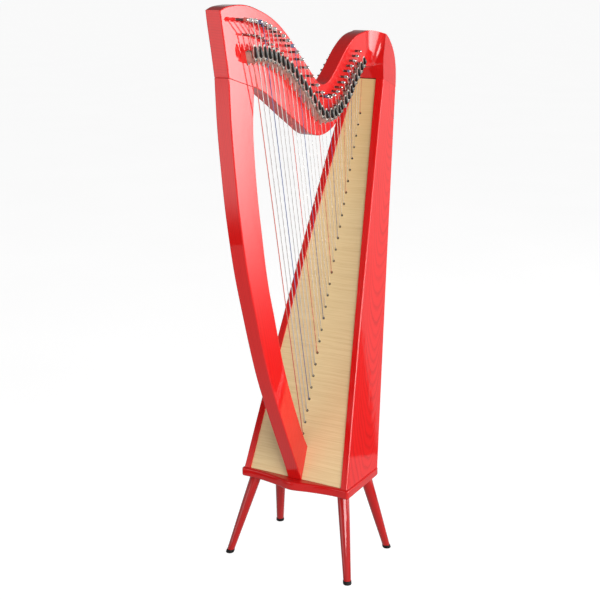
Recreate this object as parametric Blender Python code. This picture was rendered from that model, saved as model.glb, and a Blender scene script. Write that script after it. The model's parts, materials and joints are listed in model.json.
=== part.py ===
"""Lever harp with 29 strings, standing on four screwed-in legs.

Metres, +Z up, floor at z = 0.  -Y is the front (the pillar), the soundbox leans
back towards +Y, and the strings, pins and levers are on the +X side of the neck.
Every profile below is written with y = 0 over the middle of the base board and
is moved by SHIFT at the end, so that the origin is on the floor under the
middle of the whole harp.
"""
import math

import bmesh
import bpy
from mathutils import Vector
from mathutils.geometry import tessellate_polygon

for old in list(bpy.data.objects):
    bpy.data.objects.remove(old, do_unlink=True)

GAP = 0.0003          # working gap left between pieces that touch
FLOOR = 0.0030        # height of the floor in the profiles below
SHIFT = Vector((0.0, 0.0274, -FLOOR))   # moves the origin to its place

# ---------------------------------------------------------------- soundbox frame
LEAN = math.radians(20.16)             # the soundboard leans back from vertical
BOARD_ORIGIN = Vector((0.0, -0.0377, 0.3336))   # hole of the longest string
ALONG = Vector((0.0, math.sin(LEAN), math.cos(LEAN)))    # up the soundboard
OUT = Vector((0.0, -math.cos(LEAN), math.sin(LEAN)))     # out of its front

BASE_TOP = 0.2293
BASE_THICK = 0.0230
BOX_TOP = 0.9050       # distance up the board where box and shoulder meet
BOX_BOTTOM = -0.1060   # the same where the board meets the base
RIM_RAISE = 0.0040     # the red rim strips stand this much over the board
RIM_BOW = 0.0080       # the rims arch forward by this much half way up
PANEL = 0.0060         # thickness of the side panels
BOARD = 0.0032         # thickness of the soundboard
BACK = 0.0045          # thickness of the back panel

STRINGS = 29
PITCH = 0.8147 / (STRINGS - 1)
HALF_NECK = 0.0190     # half the thickness of neck and pillar


def hump(t):
    s = (t - BOX_BOTTOM) / (BOX_TOP - BOX_BOTTOM)
    return 4.0 * s * (1.0 - s) if 0.0 < s < 1.0 else 0.0


def half_width(t):
    """Outside half-width of the soundbox at distance t up the board."""
    return 0.1371 - 0.0966 * t + 0.0008 * hump(t)


def half_wood(t):
    """Half-width of the light wood between the rim strips."""
    return 0.1191 - 0.1007 * t + 0.0030 * hump(t)


def depth(t):
    """Distance from the front of the soundboard to the back of the box."""
    return 0.1530 - 0.0927 * t - 0.0035 * hump(t)


def dish(x, t):
    """The board is planar along the strings and follows the arched rims outside."""
    return RIM_BOW * hump(t) * min(1.0, (x / half_wood(t)) ** 2)


def on_box(x, t, off):
    return BOARD_ORIGIN + ALONG * t + OUT * off + Vector((x, 0.0, 0.0))


def floor_t(off):
    """Distance along the board at which height off reaches the top of the base."""
    return (BASE_TOP + GAP - BOARD_ORIGIN.z - OUT.z * off) / ALONG.z


# ---------------------------------------------------------------- materials
def material(name, colour, rough, metallic=0.0, coat=0.0):
    mat = bpy.data.materials.new(name)
    mat.use_nodes = True
    shader = mat.node_tree.nodes["Principled BSDF"]
    shader.inputs["Base Color"].default_value = (*colour, 1.0)
    shader.inputs["Roughness"].default_value = rough
    shader.inputs["Metallic"].default_value = metallic
    shader.inputs["Coat Weight"].default_value = coat
    mat.diffuse_color = (*colour, 1.0)
    return mat


RED = ((0.52, 0.012, 0.014), 0.14, 0.0, 1.0)
RED_DARK = ((0.40, 0.010, 0.012), 0.16, 0.0, 1.0)
SPRUCE = ((0.66, 0.43, 0.21), 0.45, 0.0, 0.2)
INNER = ((0.55, 0.36, 0.20), 0.70, 0.0, 0.0)
NICKEL = ((0.62, 0.60, 0.57), 0.22, 1.0, 0.0)
STRING = ((0.74, 0.72, 0.70), 0.35, 0.0, 0.0)
RUBBER = ((0.015, 0.015, 0.016), 0.75, 0.0, 0.0)


# ---------------------------------------------------------------- mesh helpers
def finish(name, bm, look, origin=None, smooth=None):
    """Make one object from a bmesh; smooth is the angle shaded smooth, in degrees."""
    bmesh.ops.recalc_face_normals(bm, faces=bm.faces)
    start = origin if origin is not None else Vector((0.0, 0.0, 0.0))
    bmesh.ops.translate(bm, verts=bm.verts, vec=-start)
    mesh = bpy.data.meshes.new(name)
    bm.to_mesh(mesh)
    bm.free()
    ob = bpy.data.objects.new(name, mesh)
    bpy.context.scene.collection.objects.link(ob)
    ob.location = start
    if look is not None:
        mesh.materials.append(material(name, *look))
    if smooth:
        shade(mesh, smooth)
    return ob


def shade(mesh, angle):
    for poly in mesh.polygons:
        poly.use_smooth = True
    mesh.set_sharp_from_angle(angle=math.radians(angle))


def cap(bm, verts):
    """A flat end, cut into triangles."""
    bmesh.ops.triangulate(bm, faces=[bm.faces.new(verts)])


def prism(bm, outline, direction):
    """A closed prism: outline is a flat loop of points, swept by direction."""
    count = len(outline)
    near = [bm.verts.new(p) for p in outline]
    far = [bm.verts.new(Vector(p) + direction) for p in outline]
    cap(bm, near[::-1])
    cap(bm, far)
    for i in range(count):
        j = (i + 1) % count
        bm.faces.new((near[i], near[j], far[j], far[i]))


def rounded_slab(bm, outline, half, radius, square):
    """A slab from x = -half to half with rounded side edges.

    outline is a loop of (y, z); the edges whose numbers are in square stay sharp,
    because another piece meets the slab there.
    """
    points = [Vector((y, z)) for y, z in outline]
    count = len(points)
    area = sum(a.x * b.y - b.x * a.y for a, b in zip(points, points[1:] + points[:1]))
    turn = 1.0 if area > 0.0 else -1.0

    def inset(amount):
        lines = []
        for k in range(count):
            along = (points[(k + 1) % count] - points[k]).normalized()
            inward = Vector((-along.y, along.x)) * turn
            lines.append((points[k] + inward * (0.0 if k in square else amount), along, inward))
        ring = []
        for k in range(count):
            (p, d, n), (q, e, m) = lines[k - 1], lines[k]
            cross = d.x * e.y - d.y * e.x
            if abs(cross) < 0.001:
                ring.append(points[k] + (n + m).normalized() * amount)
            else:
                ring.append(p + d * (((q - p).x * e.y - (q - p).y * e.x) / cross))
        return ring

    rings = []
    for sign, angles in ((-1.0, (90, 45, 0)), (1.0, (0, 45, 90))):
        for a in (math.radians(d) for d in angles):
            x = sign * (half - radius * (1.0 - math.sin(a)))
            rings.append([Vector((x, p.x, p.y)) for p in inset(radius * (1.0 - math.cos(a)))])
    loft(bm, rings)


def ring_prism(bm, outer, inner, direction):
    """A prism with one hole through it, such as a lever with its pivot eye."""
    loops = [outer, inner]
    points = list(outer) + list(inner)
    near = [bm.verts.new(p) for p in points]
    far = [bm.verts.new(Vector(p) + direction) for p in points]
    for tri in tessellate_polygon(loops):
        bm.faces.new([near[i] for i in tri])
        bm.faces.new([far[i] for i in reversed(tri)])
    start = 0
    for loop in loops:
        n = len(loop)
        for i in range(n):
            a, b = start + i, start + (i + 1) % n
            bm.faces.new((near[a], near[b], far[b], far[a]))
        start += n


def loft(bm, rings):
    """A closed body through rings of equal length, with flat ends."""
    rows = [[bm.verts.new(p) for p in ring] for ring in rings]
    n = len(rows[0])
    for low, high in zip(rows, rows[1:]):
        for i in range(n):
            j = (i + 1) % n
            bm.faces.new((low[i], low[j], high[j], high[i]))
    cap(bm, rows[0][::-1])
    cap(bm, rows[-1])


def across(direction):
    """Two unit vectors at right angles to direction and to each other."""
    helper = Vector((1.0, 0.0, 0.0)) if abs(direction.x) < 0.8 else Vector((0.0, 0.0, 1.0))
    side = direction.cross(helper).normalized()
    return side, direction.cross(side).normalized()


def circle(centre, side, other, radius, count, turn=0.0):
    return [
        centre + (side * math.cos(a) + other * math.sin(a)) * radius
        for a in (turn + 2.0 * math.pi * k / count for k in range(count))
    ]


def rod(bm, start, end, r_start, r_end=None, count=8, turn=0.0):
    side, other = across((end - start).normalized())
    r_end = r_start if r_end is None else r_end
    loft(bm, [circle(start, side, other, r_start, count, turn), circle(end, side, other, r_end, count, turn)])


def tube(bm, path, radius, count=6):
    """A round cord through the points of path, with mitred bends."""
    rings = []
    side, other = across((path[1] - path[0]).normalized())
    for k, point in enumerate(path):
        before = (point - path[k - 1]).normalized() if k else None
        after = (path[k + 1] - point).normalized() if k + 1 < len(path) else None
        if before is None or after is None:
            centre = point
            rings.append(circle(centre, side, other, radius, count))
            continue
        normal = (before + after).normalized()
        previous = rings[-1]
        ring = []
        for p in previous:
            ring.append(p + before * ((point - p).dot(normal) / before.dot(normal)))
        rings.append(ring)
        side, other = turned(side, before, after), turned(other, before, after)
    loft(bm, rings)


def turned(vector, before, after):
    return before.rotation_difference(after) @ vector


def block(bm, centre, half, axes):
    """A box: half-sizes along three unit axes."""
    a, b, c = (axes[k] * half[k] for k in range(3))
    ring = [centre - a - b, centre + a - b, centre + a + b, centre - a + b]
    loft(bm, [[p - c for p in ring], [p + c for p in ring]])


def join_solids(ob, other, operation, solver="EXACT"):
    """Boolean of two objects; the second one is used up."""
    mod = ob.modifiers.new("join", "BOOLEAN")
    mod.object = other
    mod.operation = operation
    mod.solver = solver
    bpy.context.view_layer.update()
    graph = bpy.context.evaluated_depsgraph_get()
    result = bpy.data.meshes.new_from_object(ob.evaluated_get(graph))
    ob.modifiers.clear()
    keep = ob.data.materials[0] if ob.data.materials else None
    ob.data = result
    ob.data.materials.clear()
    if keep is not None:
        ob.data.materials.append(keep)
    ob.data.polygons.foreach_set("material_index", [0] * len(ob.data.polygons))
    bpy.data.objects.remove(other, do_unlink=True)
    tidy = bmesh.new()
    tidy.from_mesh(ob.data)
    bmesh.ops.remove_doubles(tidy, verts=tidy.verts, dist=0.00002)
    bmesh.ops.dissolve_degenerate(tidy, edges=tidy.edges, dist=0.00001)
    bmesh.ops.triangulate(tidy, faces=[f for f in tidy.faces if len(f.verts) > 4])
    tidy.to_mesh(ob.data)
    tidy.free()


def round_edges(ob, width, angle=40.0, segments=2):
    mod = ob.modifiers.new("round", "BEVEL")
    mod.width = width
    mod.segments = segments
    mod.limit_method = "ANGLE"
    mod.angle_limit = math.radians(angle)
    mod.use_clamp_overlap = True
    bpy.context.view_layer.update()
    graph = bpy.context.evaluated_depsgraph_get()
    result = bpy.data.meshes.new_from_object(ob.evaluated_get(graph))
    ob.modifiers.clear()
    ob.data = result


def curve(keys, value):
    """Smooth value between numbered key points: a Catmull-Rom curve."""
    numbers = sorted(keys)
    for k in range(len(numbers) - 1):
        if value <= numbers[k + 1]:
            break
    a, b = numbers[k], numbers[k + 1]
    pa, pb = Vector(keys[a]), Vector(keys[b])
    before = Vector(keys[numbers[k - 1]]) if k else pa - (pb - pa)
    after = Vector(keys[numbers[k + 2]]) if k + 2 < len(numbers) else pb + (pb - pa)
    s = (value - a) / (b - a)
    return 0.5 * (
        2.0 * pa + (pb - before) * s
        + (2.0 * before - 5.0 * pa + 4.0 * pb - after) * s ** 2
        + (3.0 * pa - before - 3.0 * pb + after) * s ** 3
    )


# ---------------------------------------------------------------- base, legs, feet
BASE_FRONT = (   # half of the front edge: it swells forward under the pillar
    (0.000, -0.1045), (0.020, -0.1010), (0.040, -0.0955), (0.065, -0.0905),
    (0.090, -0.0865), (0.115, -0.0842), (0.140, -0.0850),
)
BASE_CORNER = ((0.1506, -0.0846), (0.1534, -0.0790))
BASE_BACK = ((0.1432, 0.0880), (0.1400, 0.0965), (0.1320, 0.0995))

LEG_TOP_Z = BASE_TOP - BASE_THICK
LEGS = {
    "front_left": ((-0.1255, -0.0574), (-0.1717, -0.1164)),
    "front_right": ((0.1255, -0.0574), (0.1717, -0.1164)),
    "back_left": ((-0.1265, 0.0606), (-0.1618, 0.1143)),
    "back_right": ((0.1265, 0.0606), (0.1618, 0.1143)),
}
LEG_R_TOP, LEG_R_LOW = 0.0147, 0.0095
LEG_END_Z = 0.0075      # the leg stands in its rubber foot down to this height
FOOT_R, FOOT_H = 0.0105, 0.0122
STUD_R = 0.0040         # threaded stud between leg and base
STUD_LOW, STUD_HIGH = LEG_TOP_Z - 0.018, LEG_TOP_Z + 0.015


def leg_point(leg, z):
    top, foot = LEGS[leg]
    s = (z - FLOOR) / (LEG_TOP_Z - FLOOR)
    return Vector((foot[0] + (top[0] - foot[0]) * s, foot[1] + (top[1] - foot[1]) * s, z))


def level_ring(centre, radius, count):
    return circle(centre, Vector((1, 0, 0)), Vector((0, 1, 0)), radius, count)


def build_base():
    right = list(BASE_FRONT) + list(BASE_CORNER) + list(BASE_BACK)
    left = [(-x, y) for x, y in reversed(right) if x > 0.0]
    bm = bmesh.new()
    ring = [Vector((x, y, 0.0)) for x, y in right + left]
    loft(bm, [[p + Vector((0, 0, z)) for p in ring] for z in (LEG_TOP_Z, BASE_TOP)])
    bmesh.ops.dissolve_limit(bm, angle_limit=0.001, verts=bm.verts, edges=bm.edges)
    base = finish("base_board", bm, RED_DARK)
    round_edges(base, 0.0042, angle=60.0, segments=3)
    bm = bmesh.new()
    for leg in LEGS:
        top = leg_point(leg, LEG_TOP_Z)
        rings = [
            level_ring(Vector((top.x, top.y, z)), STUD_R + GAP, 12)
            for z in (LEG_TOP_Z - 0.003, STUD_HIGH + GAP)
        ]
        loft(bm, rings)
    join_solids(base, finish("stud_holes", bm, None), "DIFFERENCE")
    shade(base.data, 35)


def build_legs():
    for leg in LEGS:
        top = leg_point(leg, LEG_TOP_Z)
        bm = bmesh.new()
        z_top = LEG_TOP_Z - GAP
        stations = ((LEG_END_Z, LEG_R_LOW - 0.0006), (FOOT_H + 0.006, LEG_R_LOW + 0.0002),
                    (0.100, 0.0121), (z_top, LEG_R_TOP))
        loft(bm, [level_ring(leg_point(leg, z), r, 16) for z, r in stations])
        body = finish("leg_" + leg, bm, RED)
        bm = bmesh.new()
        loft(bm, [
            level_ring(Vector((top.x, top.y, z)), STUD_R + GAP, 12)
            for z in (STUD_LOW - GAP, LEG_TOP_Z + 0.003)
        ])
        join_solids(body, finish("bore", bm, None), "DIFFERENCE")
        shade(body.data, 35)

        bm = bmesh.new()
        loft(bm, [level_ring(Vector((top.x, top.y, z)), STUD_R, 12) for z in (STUD_LOW, STUD_HIGH)])
        finish("leg_stud_" + leg, bm, NICKEL, smooth=40)

        bm = bmesh.new()
        inner = LEG_R_LOW + GAP
        rings = [
            level_ring(leg_point(leg, z), r, 16)
            for z, r in ((FLOOR, FOOT_R - 0.0006), (FLOOR + 0.002, FOOT_R), (FOOT_H - 0.001, FOOT_R),
                         (FOOT_H, FOOT_R - 0.0006), (FOOT_H, inner), (LEG_END_Z - GAP, inner))
        ]
        loft(bm, rings)
        finish("foot_" + leg, bm, RUBBER, smooth=40)


# ---------------------------------------------------------------- soundbox
ROWS = 12


def strand(bm, corners, rows=ROWS, top=BOX_TOP - GAP):
    """A long bar from base to top; corners(t) gives its (x, off) section at t."""
    rings = []
    for k in range(rows + 1):
        s = k / rows
        ring = []
        for index in range(len(corners(0.0))):
            t = 0.0
            for _ in range(4):
                x, off = corners(t)[index]
                t = floor_t(off) * (1.0 - s) + top * s
            ring.append(on_box(x, t, off))
        rings.append(ring)
    loft(bm, rings)


def build_sides():
    for name, sign in (("left", -1.0), ("right", 1.0)):
        def side(t):
            w = half_width(t)
            return [
                (sign * (w - PANEL), dish(w, t)), (sign * w, dish(w, t)),
                (sign * w, -depth(t)), (sign * (w - PANEL), -depth(t)),
            ]

        def rim(t):
            w, inner = half_width(t), half_wood(t)
            low, high = dish(w, t) + GAP, dish(w, t) + RIM_RAISE
            return [
                (sign * inner, low), (sign * w, low), (sign * w, high - 0.0016),
                (sign * (w - 0.0012), high - 0.0003), (sign * (w - 0.0035), high),
                (sign * inner, high),
            ]

        def lining(t):
            w = half_width(t) - PANEL - GAP
            high = dish(w - 0.010, t) - BOARD - GAP - 0.0003
            return [
                (sign * (w - 0.010), high), (sign * w, high),
                (sign * w, high - 0.012), (sign * (w - 0.007), high - 0.012),
            ]

        bm = bmesh.new()
        strand(bm, side)
        finish("side_panel_" + name, bm, RED, smooth=30)
        bm = bmesh.new()
        strand(bm, rim)
        finish("rim_strip_" + name, bm, RED, smooth=50)
        bm = bmesh.new()
        strand(bm, lining, top=BOX_TOP - 0.004)
        finish("lining_" + name, bm, INNER)


def string_hole(number):
    """Where string number leaves the front of the soundboard; 1 is the shortest."""
    return on_box(0.0, (STRINGS - number) * PITCH, 0.0)


def string_radius(number):
    return 0.00042 + 0.00070 * ((number - 1) / (STRINGS - 1)) ** 1.4


def build_soundboard():
    columns = (-1.0, -0.88, -0.6, -0.25, 0.25, 0.6, 0.88, 1.0)

    def section(t):
        edge = half_width(t) - PANEL - GAP
        top = [(u * edge, dish(u * edge, t)) for u in columns]
        return top + [(x, off - BOARD) for x, off in reversed(top)]

    bm = bmesh.new()
    strand(bm, section, top=BOX_TOP - 0.0015)
    board = finish("soundboard", bm, SPRUCE)
    bm = bmesh.new()
    for number in range(1, STRINGS + 1):
        centre = string_hole(number)
        radius = string_radius(number) + 0.0006
        rod(bm, centre - OUT * 0.012, centre + OUT * 0.006, radius, count=8)
    join_solids(board, finish("string_holes", bm, None), "DIFFERENCE")
    shade(board.data, 30)


SOUND_HOLES = ((0.085, 0.046, 0.030), (0.300, 0.043, 0.027), (0.505, 0.038, 0.022), (0.695, 0.030, 0.016))


def build_back():
    def section(t):
        edge = half_width(t) - PANEL - GAP
        low = -depth(t) + 0.0010
        return [(-edge, low + BACK), (edge, low + BACK), (edge, low), (-edge, low)]

    bm = bmesh.new()
    strand(bm, section, rows=2, top=BOX_TOP - 0.0010)
    back = finish("back_panel", bm, RED)
    for t, half_long, half_wide in SOUND_HOLES:
        bm = bmesh.new()
        rings = []
        for off in (-depth(t) - 0.020, -depth(t) + 0.030):
            rings.append([
                on_box(half_wide * math.sin(a), t + half_long * math.cos(a), off)
                for a in (2.0 * math.pi * k / 20 for k in range(20))
            ])
        loft(bm, rings)
        join_solids(back, finish("sound_hole", bm, None), "DIFFERENCE")
    shade(back.data, 30)


def build_inside():
    for number, t in enumerate((0.195, 0.405, 0.605), 1):
        half = half_width(t + 0.009) - PANEL - GAP
        rings = []
        for at in (t - 0.009, t + 0.009):
            low = -depth(at) + 0.0010 + BACK + GAP
            rings.append([on_box(x, at, off) for x, off in (
                (-half, low), (half, low), (half, low + 0.018), (-half, low + 0.018))])
        bm = bmesh.new()
        loft(bm, rings)
        finish("back_brace_%d" % number, bm, INNER)

    bm = bmesh.new()
    low_z, high_z = BASE_TOP + GAP, BASE_TOP + 0.030
    rings = []
    for z in (low_z, high_z):
        ring = []
        for front, sign in ((True, -1.0), (True, 1.0), (False, 1.0), (False, -1.0)):
            t = 0.0
            for _ in range(6):
                off = -0.020 if front else -depth(t) + 0.0010 + BACK + GAP
                t = (z - BOARD_ORIGIN.z - OUT.z * off) / ALONG.z
            ring.append(on_box(sign * (half_width(t) - PANEL - GAP - 0.0004), t, off))
        rings.append(ring)
    loft(bm, rings)
    finish("bottom_block", bm, INNER)


# ---------------------------------------------------------------- shoulder
JOINT_Y = 0.2335        # neck and shoulder meet on this plane
NOTCH_Z = 1.2155        # underside of the neck end


def build_shoulder():
    start_front = on_box(0.0, BOX_TOP, RIM_RAISE)
    start_back = on_box(0.0, BOX_TOP, -depth(BOX_TOP))
    outline = [
        (start_front.y, start_front.z), (0.2745, NOTCH_Z), (JOINT_Y, NOTCH_Z),
        (JOINT_Y, 1.3020), (0.2460, 1.3026), (0.2620, 1.3020), (0.2780, 1.2995),
        (0.2920, 1.2960), (0.3060, 1.2900), (0.3170, 1.2820), (0.3265, 1.2710),
        (0.3355, 1.2580), (0.3425, 1.2420), (0.3462, 1.2240), (0.3468, 1.2050),
        (0.3440, 1.1830), (start_back.y, start_back.z),
    ]

    def slab(scale):
        ring = []
        for y, z in outline:
            t = (Vector((0.0, y, z)) - BOARD_ORIGIN).dot(ALONG)
            ring.append(Vector((scale * half_width(t), y, z)))
        return ring

    bm = bmesh.new()
    left, right = slab(-1.0), slab(1.0)
    near = [bm.verts.new(p) for p in left]
    far = [bm.verts.new(p) for p in right]
    cap(bm, near[::-1])
    cap(bm, far)
    for i in range(len(near)):
        j = (i + 1) % len(near)
        bm.faces.new((near[i], near[j], far[j], far[i]))
    shoulder = finish("shoulder", bm, RED)
    round_edges(shoulder, 0.0022, angle=50.0, segments=2)

    # the hollow sweep on both sides, from the narrow neck out to the wide box
    steps = 7
    for sign in (-1.0, 1.0):
        rings = []
        for z, grow in ((NOTCH_Z - 0.0300, 0.04), (NOTCH_Z, 0.06), (1.2400, 0.50), (1.2650, 0.88), (1.3120, 1.06)):
            front = 0.2745 + (z - NOTCH_Z) * 0.20 + max(0.0, z - 1.2400) * 0.24
            reach_x, reach_y = 0.0262 * grow, (front - JOINT_Y) * min(0.995, grow)
            ring = [Vector((sign * HALF_NECK, JOINT_Y - 0.020, z))]
            for k in range(steps + 1):
                a = 0.5 * math.pi * k / steps
                x = HALF_NECK + reach_x * (1.0 - math.cos(a))
                ring.append(Vector((sign * x, front - reach_y * (1.0 - math.sin(a)), z)))
            ring += [Vector((sign * 0.080, front, z)), Vector((sign * 0.080, JOINT_Y - 0.020, z))]
            rings.append(ring)
        bm = bmesh.new()
        loft(bm, rings)
        join_solids(shoulder, finish("sweep", bm, None), "DIFFERENCE")
    shade(shoulder.data, 35)


# ---------------------------------------------------------------- neck and pillar
NECK_TOP = (   # front top corner, then over the hump, down to the saddle and up again
    (-0.4015, 1.3704), (-0.3766, 1.3772), (-0.3283, 1.3799), (-0.2902, 1.3758),
    (-0.2513, 1.3658), (-0.2113, 1.3520), (-0.1703, 1.3315), (-0.1282, 1.3020),
    (-0.0848, 1.2645), (-0.0399, 1.2268), (-0.0160, 1.2060), (0.0064, 1.1923),
    (0.0280, 1.1885), (0.0514, 1.1960), (0.0777, 1.2153), (0.1017, 1.2371),
    (0.1261, 1.2592), (0.1507, 1.2768), (0.1757, 1.2898), (0.2012, 1.2974),
    (0.2332, 1.3018),
)
NECK_LOW = (   # from the shoulder forward, under the neck, to the pillar joint
    (0.2332, 1.2158), (0.2100, 1.2035), (0.1936, 1.1878), (0.1784, 1.1744),
    (0.1534, 1.1474), (0.1285, 1.1260), (0.1030, 1.1040), (0.0795, 1.0871),
    (0.0552, 1.0766), (0.0312, 1.0709), (0.0074, 1.0700), (-0.0114, 1.0726),
    (-0.0393, 1.0804), (-0.0848, 1.1056), (-0.1289, 1.1305), (-0.1717, 1.1558),
    (-0.2133, 1.1793), (-0.2336, 1.1897), (-0.2756, 1.2053),
)
NECK_FRONT = (  # from the pillar joint up the front of the neck
    (-0.3730, 1.2317), (-0.3775, 1.2540), (-0.3835, 1.2840), (-0.3905, 1.3150),
    (-0.3970, 1.3450), (-0.4010, 1.3620),
)
PILLAR_FRONT = (  # from the top down
    (-0.3730, 1.2314), (-0.3704, 1.1867), (-0.3677, 1.1448), (-0.3630, 1.0980),
    (-0.3551, 1.0374), (-0.3416, 0.9488), (-0.3250, 0.8660), (-0.3048, 0.7830),
    (-0.2760, 0.6900), (-0.2498, 0.6094), (-0.2190, 0.5250), (-0.1790, 0.4356),
    (-0.1392, 0.3530), (-0.1165, 0.3077), (-0.0950, 0.2640), (-0.0800, 0.2296),
)
PILLAR_BACK = (  # from just over the soundboard up
    (-0.0562, 0.3225), (-0.0752, 0.3570), (-0.0966, 0.4030),
    (-0.1199, 0.4530), (-0.1427, 0.5067), (-0.1628, 0.5600), (-0.1815, 0.6190),
    (-0.1990, 0.6780), (-0.2183, 0.7391), (-0.2345, 0.8055), (-0.2482, 0.8769),
    (-0.2616, 0.9469), (-0.2715, 1.0152), (-0.2785, 1.0816), (-0.2803, 1.1300),
    (-0.2756, 1.2050),
)

BRIDGE_KEYS = {   # string number: where its bridge pin stands on the neck face
    1: (0.1882, 1.2280), 3: (0.1600, 1.2046), 5: (0.1320, 1.1803), 7: (0.1045, 1.1555),
    9: (0.0743, 1.1363), 11: (0.0395, 1.1250), 13: (0.0020, 1.1280), 15: (-0.0400, 1.1545),
    17: (-0.0830, 1.1935), 19: (-0.1229, 1.2291), 21: (-0.1641, 1.2617),
    23: (-0.2033, 1.2833), 25: (-0.2418, 1.3017), 27: (-0.2787, 1.3135), 29: (-0.3190, 1.3183),
}
TUNING_KEYS = {   # the same for the tuning pins
    1: (0.1782, 1.2561), 3: (0.1500, 1.2350), 5: (0.1214, 1.2125), 7: (0.0925, 1.1880),
    9: (0.0641, 1.1690), 11: (0.0270, 1.1590), 13: (-0.0110, 1.1730), 15: (-0.0600, 1.2140),
    17: (-0.1070, 1.2545), 19: (-0.1490, 1.2864), 21: (-0.1895, 1.3100),
    23: (-0.2276, 1.3268), 25: (-0.2665, 1.3395), 27: (-0.3055, 1.3468), 29: (-0.3434, 1.3501),
}
BRIDGE_R, TUNING_R = 0.0016, 0.0026
STRING_X = 0.0348       # the strings cross the bridge pins at this x
BRIDGE_TIP = 0.0364
STEM_R, STEM_X = 0.0024, 0.0328   # the thick stem of a bridge pin ends before its string
TAIL_X = -0.0455        # the square tails of the tuning pins end here
SEMITONE = 1.0 - 2.0 ** (-1.0 / 12.0)


def bridge_pin(number):
    y, z = curve(BRIDGE_KEYS, number)
    return Vector((0.0, y, z))


def tuning_pin(number):
    y, z = curve(TUNING_KEYS, number)
    return Vector((0.0, y, z))


def tuning_tip(number):
    return 0.0360 + 0.0130 * (number - 1) / (STRINGS - 1)


def coil_x(number):
    """The coils lie near the tip of their tuning pin."""
    return tuning_tip(number) - 0.0062


def string_path(number):
    """Centre line of a string: anchor, hole, over its bridge pin, to the tuning pin."""
    radius = string_radius(number)
    hole, pin, peg = string_hole(number), bridge_pin(number), tuning_pin(number)
    first, second = (peg - pin).normalized(), (hole - pin).normalized()
    bend = (first + second)
    bend = bend.normalized() if bend.length > 0.02 else Vector((0.0, -1.0, 0.0))
    bend.x = 0.0
    at_pin = pin - bend * (BRIDGE_R + radius + GAP)
    at_pin.x = STRING_X
    side = Vector((0.0, first.z, -first.y)).normalized()
    if side.dot(bend) > 0.0:
        side = -side
    at_peg = peg + side * (TUNING_R + GAP + COIL / 2.0)
    at_peg.x = coil_x(number)
    start = hole - OUT * (BOARD + 0.0040)
    lip = hole + OUT * (0.0010 + radius)
    return [start, lip, at_pin, at_peg]


COIL = 0.0018           # thickness of the coils wound on a tuning pin
COIL_LONG = 0.0075


def speaking(number):
    """The straight part of a string, from the soundboard to the bridge pin."""
    _, low, high, _ = string_path(number)
    return low, high


def lever_frame(number):
    """Pivot of a lever, and unit vectors: up along its string, and the hinge axis."""
    low, high = speaking(number)
    length = (high - low).length
    down = (low - high).normalized()
    fret = high + down * (SEMITONE * length)
    up = Vector((0.0, high.y - low.y, high.z - low.z)).normalized()
    pivot = Vector((LEVER_X, fret.y, fret.z))
    return pivot, up, up.cross(Vector((1.0, 0.0, 0.0)))


LEVER_X = 0.0385        # the levers turn outside the strings and the bridge pins
EYE_R, EYE_HOLE, AXLE_R = 0.0030, 0.00150, 0.00105
LEVER_HALF = 0.0028     # half the width of a lever
EAR_IN, EAR_OUT = 0.0032, 0.0042
EAR_FLOOR = 0.0016      # thickness of a bracket on the neck, between its ears


def ear_outline(number):
    """Side view of a bracket, as (up the string, out of the neck) from under its pivot."""
    pivot = lever_frame(number)[0]
    eye = LEVER_X - HALF_NECK
    top = min(0.0200, (bridge_pin(number) - at(0.0, pivot)).length - 0.0034)
    return [
        (-0.0110, -0.0010), (-0.0110, 0.0011), (-0.0070, 0.0013), (-0.0060, 0.0040),
        (-0.0034, eye - 0.0014), (-0.0022, eye + 0.0013),
        (0.0, eye + 0.0022), (0.0022, eye + 0.0013), (0.0034, eye - 0.0010),
        (min(0.0060, top * 0.6), 0.0136), (top - 0.0010, 0.0126), (top, 0.0110), (top, -0.0010),
    ]


def at(x, point):
    return Vector((x, point.y, point.z))


def build_neck():
    outline = list(NECK_FRONT) + list(NECK_TOP) + list(NECK_LOW)
    at_shoulder, at_pillar = len(NECK_FRONT) + len(NECK_TOP) - 1, len(outline) - 1
    bm = bmesh.new()
    rounded_slab(bm, outline, HALF_NECK, 0.0022, (at_shoulder, at_pillar))
    neck = finish("neck", bm, RED)

    bm = bmesh.new()
    root = HALF_NECK - 0.0010
    for number in range(1, STRINGS + 1):
        pin, peg = bridge_pin(number), tuning_pin(number)
        tip = tuning_tip(number)
        # round tuning pin with a waist for the coils, and its square tail behind
        rod(bm, Vector((root, peg.y, peg.z)), Vector((tip, peg.y, peg.z)), TUNING_R, TUNING_R * 0.96)
        rod(bm, Vector((-root, peg.y, peg.z)), Vector((TAIL_X, peg.y, peg.z)),
            0.0034, 0.0030, count=4, turn=math.pi / 4.0)
        stem = ((root, STEM_R), (STEM_X, STEM_R), (STEM_X + 0.0003, BRIDGE_R), (BRIDGE_TIP, BRIDGE_R))
        loft(bm, [circle(at(x, pin), Vector((0, 1, 0)), Vector((0, 0, 1)), r, 8) for x, r in stem])
    join_solids(neck, finish("pins", bm, None), "UNION", "MANIFOLD")

    # U bracket of each lever: two ears beside the string, with an axle across them
    bm, slots, axles = bmesh.new(), bmesh.new(), bmesh.new()
    out = Vector((1.0, 0.0, 0.0))
    for number in range(1, STRINGS + 1):
        pivot, up, axis = lever_frame(number)
        foot = Vector((HALF_NECK, pivot.y, pivot.z))
        start = foot - axis * EAR_OUT
        prism(bm, [start + up * a + out * c for a, c in ear_outline(number)], axis * (2.0 * EAR_OUT))
        block(slots, foot + out * (EAR_FLOOR + 0.020), (EAR_IN, 0.040, 0.020), (axis, up, out))
        rod(axles, pivot - axis * (EAR_IN + 0.0004), pivot + axis * (EAR_IN + 0.0004), AXLE_R, count=8)
    brackets = finish("brackets", bm, None)
    join_solids(brackets, finish("slots", slots, None), "DIFFERENCE")
    join_solids(brackets, finish("axles", axles, None), "UNION", "MANIFOLD")
    join_solids(neck, brackets, "UNION", "MANIFOLD")
    shade(neck.data, 35)


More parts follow.
